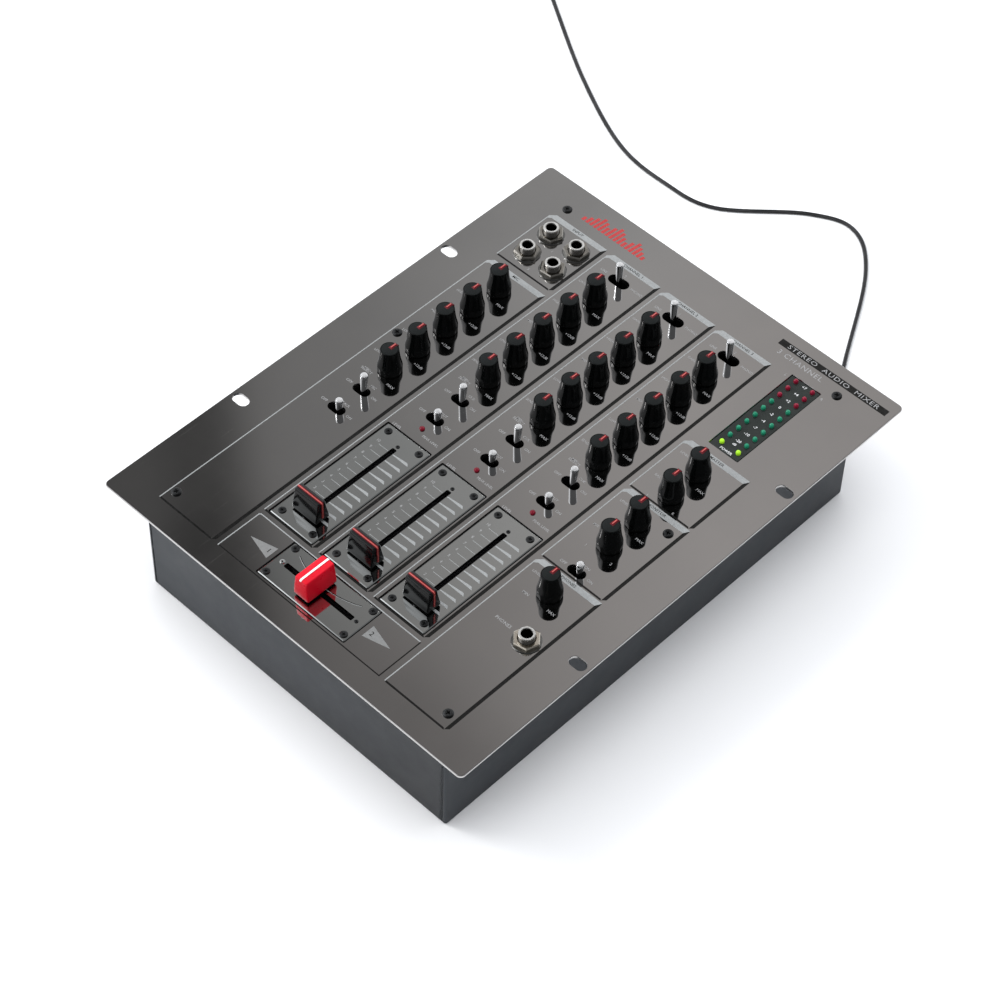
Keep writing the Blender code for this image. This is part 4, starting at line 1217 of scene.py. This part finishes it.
def dip_curve(light, dark, steps=14):
    """The curve on the crossfader plate: a dark line with a light one along its front."""
    curve = []
    for i in range(steps + 1):
        t = i / steps
        curve.append((-24.4 + (23.3 + 24.4) * t,
                      -135.9 - 5.6 * math.sin(math.pi * t) ** 0.8))
    for part, front, rear in ((dark, -0.24, 0.24), (light, -0.54, -0.24)):
        ink(part, [(x, y + front) for x, y in curve]
            + [(x, y + rear) for x, y in reversed(curve)])


def marks():
    light, dark = bmesh.new(), bmesh.new()
    section_frames(light, dark)
    crossfader_frame(light, dark)
    fader_scales(light)
    dip_curve(light, dark)
    triangles = bmesh.new()
    for base_x, tip_x in ((-36.3, -53.2), (37.0, 53.9)):
        ink(triangles, [(base_x, -140.75), (base_x, -149.65), (tip_x, CROSS_Y)])
    add("print_triangles", triangles, "pale", "print_light", angle=20)
    add("print_light_marks", light, "light", "print_light", angle=20)
    # title bar
    ink_bar(dark, 54.3, 132.9, 164.2, 168.9)
    add("print_dark_marks", dark, "dark", "print_dark", angle=20)
    # leaning level bars at the rear left
    motif = bmesh.new()
    front = 157.2
    for i, height in enumerate(LEVEL_BARS):
        x = -93.5 + 3.1 * i
        lean = 0.12 * height
        ink(motif, [(x, front), (x + 2.1, front), (x + 2.1 + lean, front + height),
                    (x + lean, front + height)])
    add("print_level_motif", motif, "motif", "print_light", angle=20)


def text(part, words, size, x, y, bold=0.010, z=TOP, spread=1.0, width=1.0):
    """Adds centred words as a thin raised print. size is the letters' height."""
    curve = bpy.data.curves.new("word", "FONT")
    curve.body = words
    curve.size = size / 0.70
    curve.align_x = "CENTER"
    curve.align_y = "CENTER"
    curve.resolution_u = 2
    curve.space_character = spread
    curve.offset = bold
    curve.extrude = (INK + INK_SINK) / 2
    obj = new_object("word", curve)
    bpy.context.view_layer.update()
    evaluated = obj.evaluated_get(bpy.context.evaluated_depsgraph_get())
    mesh = bpy.data.meshes.new_from_object(evaluated)
    mesh.transform(Matrix.Translation((x, y, z + (INK - INK_SINK) / 2))
                   @ Matrix.Diagonal((width, 1.0, 1.0, 1.0)))
    part.from_mesh(mesh)
    bpy.data.objects.remove(obj)
    bpy.data.curves.remove(curve)
    bpy.data.meshes.remove(mesh)


KNOB_TITLES = {"gain": "GAIN", "treble": "HIGH", "middle": "MID", "bass": "LOW",
               "send": "SEND", "level": "LEVEL", "mix": "MIX"}


def knob_labels(part):
    for name in KNOBS:
        x, y, _ = joint_at(name)
        kind = name.split("_")[-2]
        balance = name.startswith("balance")
        if kind in ("treble", "middle", "bass"):
            least, most = "-12dB", "+12dB"
        elif balance:
            least, most = "L", "R"
        elif name.startswith("cue_mix"):
            least, most = "1", "2"
        else:
            least, most = "MIN", "MAX"
        text(part, least, 1.75, x - 9.2, y - 8.9, bold=0.012)
        text(part, most, 1.75, x + 9.4, y - 9.1, bold=0.012)
        if not name.startswith("mic_gain"):
            title = KNOB_TITLES.get(kind, "BAL" if balance else "LEVEL")
            text(part, title, 1.6, x - 14.6, y + 5.2, bold=0.008)


def lever_labels(part):
    for name in LEVERS:
        x, y, _ = joint_at(name)
        if "input" in name:
            text(part, "LINE", 1.7, x - 12.2, y + 0.6)
            text(part, "PHONO", 1.7, x + 13.2, y + 0.6)
            text(part, "2", 1.7, x - 0.2, y + 5.9)
            continue
        text(part, "OFF", 1.8, x - 9.9, y, bold=0.012)
        text(part, "ON", 1.8, x + 9.7, y, bold=0.012)
        short = short_lever_print(name)
        if short:
            text(part, short, 1.7, x + 1.6, y + 5.6)
        else:
            text(part, "CUE" if "cue" in name else "MIC", 1.7, x + 3.2, y + 5.9)
            text(part, "SELECT", 1.8, x - 8.8, y + 12.4)


def panel_labels(part):
    for x in CHANNEL_X:
        text(part, "PEAK LEVEL", 1.6, x + 9.6, -29.4)
        text(part, "LEVEL", 1.8, x - 11.6, -34.2)
        for k in range(SCALE_MARKS):
            text(part, str(10 - k), 1.8, x - 11.2, -49.0 - MARK_PITCH * k, bold=0.012)
    text(part, "PHONES", 2.0, 83.0, -90.6, bold=0.012, spread=1.05)
    text(part, "L", 1.9, 73.4, 148.6, bold=0.012)
    text(part, "R", 1.9, 99.9, 148.6, bold=0.012)
    for number, (x, y) in enumerate(INPUT_JACKS, 1):
        text(part, str(number), 1.7, x + 9.7, y - 9.3, bold=0.012)


def meter_labels():
    part = bmesh.new()
    x = 87.2
    for words, y in zip(("+7", "+4", "+2", "0", "-2", "-4", "-7", "-10", "-20"), METER_ROWS):
        text(part, words, 1.9, x, y, bold=0.022, z=GLASS_TOP)
    text(part, "dB", 1.6, x, METER_ROWS[8] - 3.4, bold=0.016, z=GLASS_TOP)
    text(part, "POWER", 1.7, 87.0, METER_ROWS[9] - 3.3, bold=0.018, z=GLASS_TOP)
    add("meter_scale_print", part, "scale", "print_light", angle=30)


def labels():
    small = bmesh.new()
    knob_labels(small)
    lever_labels(small)
    panel_labels(small)
    meter_labels()
    on_ink = TOP + INK
    text(small, "STEREO  AUDIO  MIXER", 3.0, 93.6, 166.5, bold=0.012, z=on_ink, spread=1.12,
         width=1.32)
    text(small, "3 CHANNEL", 3.6, 74.5, 159.8, bold=0.0, spread=1.1, width=1.1)
    add("print_labels", small, "label", "print_light", angle=30)
    dark = bmesh.new()
    text(dark, "1", 3.0, -39.0, CROSS_Y, bold=0.02, z=on_ink)
    text(dark, "2", 3.0, 40.0, CROSS_Y, bold=0.02, z=on_ink)
    for left, right, rear, _, title in SECTIONS:
        text(dark, title, 1.9, (left + right) / 2, rear - 1.95, bold=0.006, z=on_ink,
             spread=1.05)
    add("print_dark_labels", dark, "dark", "print_dark", angle=30)


# ================================================================ power cord
CORD_WAYPOINTS = (
    (CORD_X, 150.0, CORD_Z), (CORD_X, 166.0, CORD_Z), (88.0, 178.0, 15.0), (78.0, 196.0, 3.4),
    (52.0, 240.0, 1.6), (14.0, 305.5, 1.6), (-16.0, 330.5, 1.6), (-46.0, 321.0, 1.6),
    (-91.0, 283.0, 1.6), (-128.0, 277.0, 1.6), (-172.0, 282.5, 1.6), (-232.0, 311.5, 1.6),
    (-301.0, 355.0, 1.6), (-318.0, 365.0, 3.5))
CORE_RADIUS, CORE_OFFSET = 0.72, 0.68  # the lead has two cores side by side
PLUG_SECTIONS = (  # distance along the plug, width, height, corner radius
    (-15.0, 8.0, 5.6, 2.4), (-13.8, 10.0, 7.0, 2.6), (-8.0, 12.6, 8.0, 2.8),
    (0.0, 15.0, 8.6, 3.0), (6.0, 16.6, 8.9, 3.0), (9.0, 17.0, 8.9, 3.0),
    (9.4, 19.0, 9.0, 2.6), (14.4, 19.0, 9.0, 2.6), (15.0, 18.2, 8.2, 2.4))
STRIPE_SECTION = [(0.95, 0.62), (1.25, 0.42), (1.32, 0.50), (1.0, 0.72)]


def cord_path(steps):
    """Catmull-Rom points through the waypoints."""
    points = [Vector(p) for p in CORD_WAYPOINTS]
    points = [2 * points[0] - points[1]] + points + [2 * points[-1] - points[-2]]
    path = []
    for i in range(1, len(points) - 2):
        a, b, c, d = points[i - 1:i + 3]
        for step in range(steps):
            t = step / steps
            path.append(0.5 * (2 * b + (c - a) * t + (2 * a - 5 * b + 4 * c - d) * t * t
                               + (3 * b - a - 3 * c + d) * t ** 3))
    path.append(points[-2])
    return path


def sweep(part, path, section):
    """Carries a closed section (sideways, upwards) along a path, kept upright."""
    rows = []
    for i, point in enumerate(path):
        before, after = path[max(i - 1, 0)], path[min(i + 1, len(path) - 1)]
        forward = (after - before).normalized()
        side = forward.cross(Vector((0, 0, 1))).normalized()
        upward = side.cross(forward).normalized()
        # lowered a little, but never into the floor
        centre = Vector((point.x, point.y, max(point.z - 0.6, 0.85)))
        rows.append([part.verts.new(centre + side * u + upward * v) for u, v in section])
    bridge_all(part, rows)
    cap_ends(part, rows)


def cord_lead(path):
    section = []
    for side, start in ((1, -150), (-1, 30)):
        for i in range(11):
            angle = math.radians(start + 30 * i)
            section.append((side * CORE_OFFSET + CORE_RADIUS * math.cos(angle),
                            CORE_RADIUS * math.sin(angle)))
    part = bmesh.new()
    sweep(part, path, section)
    # moulded bush where the cord leaves the case, ribbed for strain relief
    profile = [(0.0, 12.0), (1.9, 12.0)]
    z = 11.4
    while z > 3.2:
        radius = 2.0 + (11.4 - z) * 0.12
        profile += [(radius, z), (radius, z - 0.8), (radius - 0.45, z - 1.0),
                    (radius - 0.45, z - 1.5)]
        z -= 1.7
    profile += [(3.1, 2.6), (5.1, 2.4), (5.4, 2.1), (5.4, 0.0), (3.4, 0.0), (3.4, -3.6),
                (0.0, -3.6)]
    face_y = box("rear_panel")[1].y
    lathe_rearwards(part, profile, 24, (CORD_X, face_y + 0.3, CORD_Z))
    add("cord_twin_lead", part, "cord", "cord_pvc", replaces=("power_cord",), angle=40)


def cord_plug():
    coarse = cord_path(3)
    end, prior = coarse[-1], coarse[-3]
    heading = math.atan2(end.y - prior.y, end.x - prior.x)
    middle = (end.x + 14 * math.cos(heading), end.y + 14 * math.sin(heading), 4.8)
    place = Matrix.Translation(middle) @ Matrix.Rotation(heading, 4, "Z")
    # moulded body with a flat collar
    part = bmesh.new()
    rows = [[part.verts.new((x, y, z)) for y, z in rounded(0, 0, width, height, radius, 5)(0.0)]
            for x, width, height, radius in PLUG_SECTIONS]
    bridge_all(part, rows)
    cap_ends(part, rows)
    # grip ribs on both sides
    for k in range(4):
        x = -6.0 + 3.4 * k
        for side in (-1, 1):
            y = side * (6.6 + 0.27 * (x + 8.0))
            block(part, (x, y - 0.5, -2.6), (x + 1.5, y + 0.5, 2.6), 0.3)
    bmesh.ops.transform(part, matrix=place, verts=part.verts)
    add("cord_plug_body", part, "cord", "cord_pvc", angle=35)
    part = bmesh.new()
    for side in (-1, 1):
        y = side * 6.35
        block(part, (12.0, y - 0.75, -3.15), (32.0, y + 0.75, 3.15), 0.35)
    bmesh.ops.transform(part, matrix=place, verts=part.verts)
    add("cord_plug_blades", part, "nickel", "nickel")


def power_cord():
    path = cord_path(12)
    cord_lead(path)
    cord_plug()
    # the light marking stripe on one core
    part = bmesh.new()
    sweep(part, path[16:-4], STRIPE_SECTION)
    add("cord_stripe", part, "stripe", "cord_pvc")


# ================================================================ pieces that keep their CAD shape
CARRIED_OVER = {"sub_frame": "zinc", "channel_fader_1": "plastic", "channel_fader_2": "plastic",
                "channel_fader_3": "plastic", "crossfader_unit": "plastic",
                "control_board": "board", "power_supply": "supply"}

face_panel()
plates()
case_shell()
case_tabs()
rear_panel()
rear_sockets()
face_screws()
rear_screws()
knobs()
levers()
dust_shields()
for channel in (1, 2, 3):
    channel_cap(f"fader_cap_{channel}")
cross_cap()
jack_set("input_jack_board", "input_jack_bodies", "input_jacks", INPUT_JACKS, "nickel")
jack_set("phones_jack", "phones_jack_body", "phones_jack_set", (PHONES_JACK,), "warm_nickel")
meter()
marks()
labels()
power_cord()
for cad_node, cad_finish in CARRIED_OVER.items():
    set_only_finish(frame["nodes"][cad_node].data, cad_finish)


# ================================================================ floor, light and camera
def floor():
    mesh = bpy.data.meshes.new("floor")
    part = bmesh.new()
    bmesh.ops.create_grid(part, x_segments=1, y_segments=1, size=9.0)
    part.to_mesh(mesh)
    part.free()
    obj = new_object("floor", mesh)
    obj.location = (0, 0, -0.00005)
    shade = Shade("floor_paper")
    color = shade.mottle((0.86, 0.865, 0.875), (0.87, 0.873, 0.88), 3.0)
    mesh.materials.append(shade.finish(color, 0.85, specular=0.1))


# all in metres; the axes are the camera's right, up and backward directions
CAMERA_AT = Vector((0.712981, -0.776523, 1.298493))
CAMERA_AXES = ((0.7166772, 0.6971054, 0.0204375),
               (-0.5457746, 0.5423720, 0.6387196),
               (0.4341701, -0.4689101, 0.7691681))
SKY_TINT = (0.985, 1.0, 1.03)
CARD_HALF_SPAN = 0.2
CARD_STOPS = (  # place along the panel's diagonal in metres, grey level
    (-0.2, 0.100), (-0.178, 0.075), (-0.165, 0.078), (-0.152, 0.110), (-0.143, 0.165),
    (-0.132, 0.215), (-0.115, 0.238), (-0.07, 0.262), (-0.03, 0.310), (0.0, 0.352),
    (0.04, 0.410), (0.09, 0.455), (0.15, 0.450), (0.2, 0.430))


def rgb(sky, channels):
    node = sky.new("CombineColor")
    for socket, value in zip(node.inputs, channels):
        sky.put(socket, value)
    return node.outputs[0]


def tinted(sky, value):
    return rgb(sky, [sky.times(value, tint) for tint in SKY_TINT])


def grey_card(sky, x, y, z):
    """The card that the panel mirrors: its colour, and a mask of how far it reaches."""
    # where on the panel a mirrored ray from the camera came from
    steep = sky.math("MAXIMUM", z, 0.02)
    height = CAMERA_AT.z - TOP * MM
    panel_x = sky.plus(sky.times(sky.math("DIVIDE", x, steep), height), CAMERA_AT.x)
    panel_y = sky.plus(sky.times(sky.math("DIVIDE", y, steep), height), CAMERA_AT.y)
    diagonal = sky.plus(sky.times(panel_x, 0.581), sky.times(panel_y, 0.814))
    span = 2 * CARD_HALF_SPAN
    ramp = sky.new("ValToRGB", Fac=sky.math("DIVIDE", sky.plus(diagonal, CARD_HALF_SPAN), span,
                                            clamp=True))
    elements = ramp.color_ramp.elements
    elements.remove(elements[-1])
    for k, (place, grey) in enumerate(CARD_STOPS):
        position = (place + CARD_HALF_SPAN) / span
        element = elements.new(position) if k else elements[0]
        element.position = position
        element.color = (grey, grey, grey, 1.0)
    # dimmer towards its front right edge and its rear left corner
    right = sky.smooth(panel_x, -0.10, -0.08)
    front = sky.smooth(panel_y, -0.17, -0.115, low=0.22, high=0.0)
    corner = sky.times(sky.smooth(panel_x, -0.02, -0.12, low=0.0, high=0.14),
                       sky.smooth(panel_y, 0.05, 0.17))
    trim = sky.times(sky.inverse(sky.times(right, front)), sky.inverse(corner))
    # a warmer tint to the right
    tint = sky.mix(sky.smooth(panel_x, -0.12, 0.10), (1.0, 1.0, 1.005), (1.02, 0.985, 0.975))
    card = sky.mix(1.0, ramp.outputs[0], tint, blend="MULTIPLY")
    card = sky.mix(1.0, card, rgb(sky, (trim, trim, trim)), blend="MULTIPLY")
    # the card fades out away from the panel's middle and near the horizon
    reach = sky.math("SQRT", sky.plus(
        sky.math("POWER", sky.math("DIVIDE", panel_x, 0.80), 2.0),
        sky.math("POWER", panel_y, 2.0)))
    inside = sky.times(sky.smooth(reach, 0.52, 0.30), sky.smooth(z, 0.30, 0.45))
    return card, inside


def glossy_surround(sky, x, y, z, across):
    """What shiny pieces mirror: bright on the left, dim to the front and the right."""
    shift = sky.times(sky.smooth(z, 0.45, 0.70, low=1.0, high=0.0), 0.40)
    shifted = sky.math("SUBTRACT", across, shift)
    around = sky.times(sky.smooth(shifted, -0.45, -0.05, low=1.35, high=0.24),
                       sky.smooth(shifted, 0.0, 0.30, low=1.0, high=0.62))
    # dim overhead and near the horizon
    around = sky.times(around, sky.smooth(z, 0.81, 0.91, low=1.0, high=0.25))
    around = sky.times(around, sky.smooth(z, 0.30, 0.46, low=0.42, high=1.0))
    # a soft lamp high on the front left
    aimed = sky.plus(sky.plus(sky.times(x, -0.43), sky.times(y, -0.24)), sky.times(z, 0.87))
    return sky.plus(around, sky.smooth(aimed, 0.970, 0.993, low=0.0, high=1.2))


def matt_surround(sky, z, across):
    """What lights the matt pieces: brighter on the left, with an open ceiling."""
    high = sky.smooth(z, 0.45, 0.92)
    sides = sky.smooth(across, 0.0, 0.5, low=1.30, high=0.14)
    return sky.plus(sky.times(sides, sky.inverse(high)), sky.times(high, 1.5))


def world():
    """Soft studio surround, with a grey card where the panel mirrors it."""
    studio = bpy.data.worlds.new("studio")
    bpy.context.scene.world = studio
    studio.use_nodes = True
    studio.node_tree.nodes.clear()
    sky = Nodes(studio.node_tree)
    x, y, z = sky.split("Generated")
    card, inside = grey_card(sky, x, y, z)
    across = sky.plus(sky.times(x, 0.94), sky.times(y, -0.34))
    glossy = sky.mix(inside, tinted(sky, glossy_surround(sky, x, y, z, across)), card)
    matt = tinted(sky, matt_surround(sky, z, across))
    rays = sky.new("LightPath").outputs
    seen = sky.mix(rays["Is Diffuse Ray"], glossy, matt)
    # the camera itself sees plain white beyond the floor
    seen = sky.mix(rays["Is Camera Ray"], seen, (1.0, 1.0, 1.0))
    background = sky.new("Background", Color=seen, Strength=1.0)
    sky.new("OutputWorld", Surface=background.outputs[0])


def area(name, at, aim, size, power, color=(1, 1, 1), glossy=True):
    """A round area light; glossy says whether shiny pieces mirror it."""
    data = bpy.data.lights.new(name, "AREA")
    data.shape = "DISK"
    data.size = size
    data.energy = power
    data.color = color
    obj = new_object(name, data)
    obj.location = at
    obj.rotation_euler = (Vector(aim) - Vector(at)).to_track_quat("-Z", "Y").to_euler()
    obj.visible_glossy = glossy


def camera():
    data = bpy.data.cameras.new("camera")
    data.lens = 105.0
    data.sensor_width = 36.0
    data.clip_start = 0.05
    data.clip_end = 50.0
    eye = new_object("camera", data)
    turn = Matrix(CAMERA_AXES).transposed().to_4x4()
    eye.matrix_world = Matrix.Translation(CAMERA_AT) @ turn
    bpy.context.scene.camera = eye


floor()
world()
area("key", at=(-1.45, -0.75, 1.75), aim=(0.0, 0.0, 0.0), size=1.0, power=20.0,
     color=(1.0, 0.99, 0.975), glossy=False)
area("glint", at=(-1.3, -0.6, 1.4), aim=(0.0, 0.0, 0.08), size=0.22, power=2.0)
area("ceiling", at=(0.46, 0.1, 2.4), aim=(0.3, 0.08, 0.0), size=1.5, power=13.4, glossy=False)
camera()
bpy.context.scene.view_settings.view_transform = "Standard"
bpy.context.scene.view_settings.look = "None"
bpy.context.scene.cycles.use_denoising = True
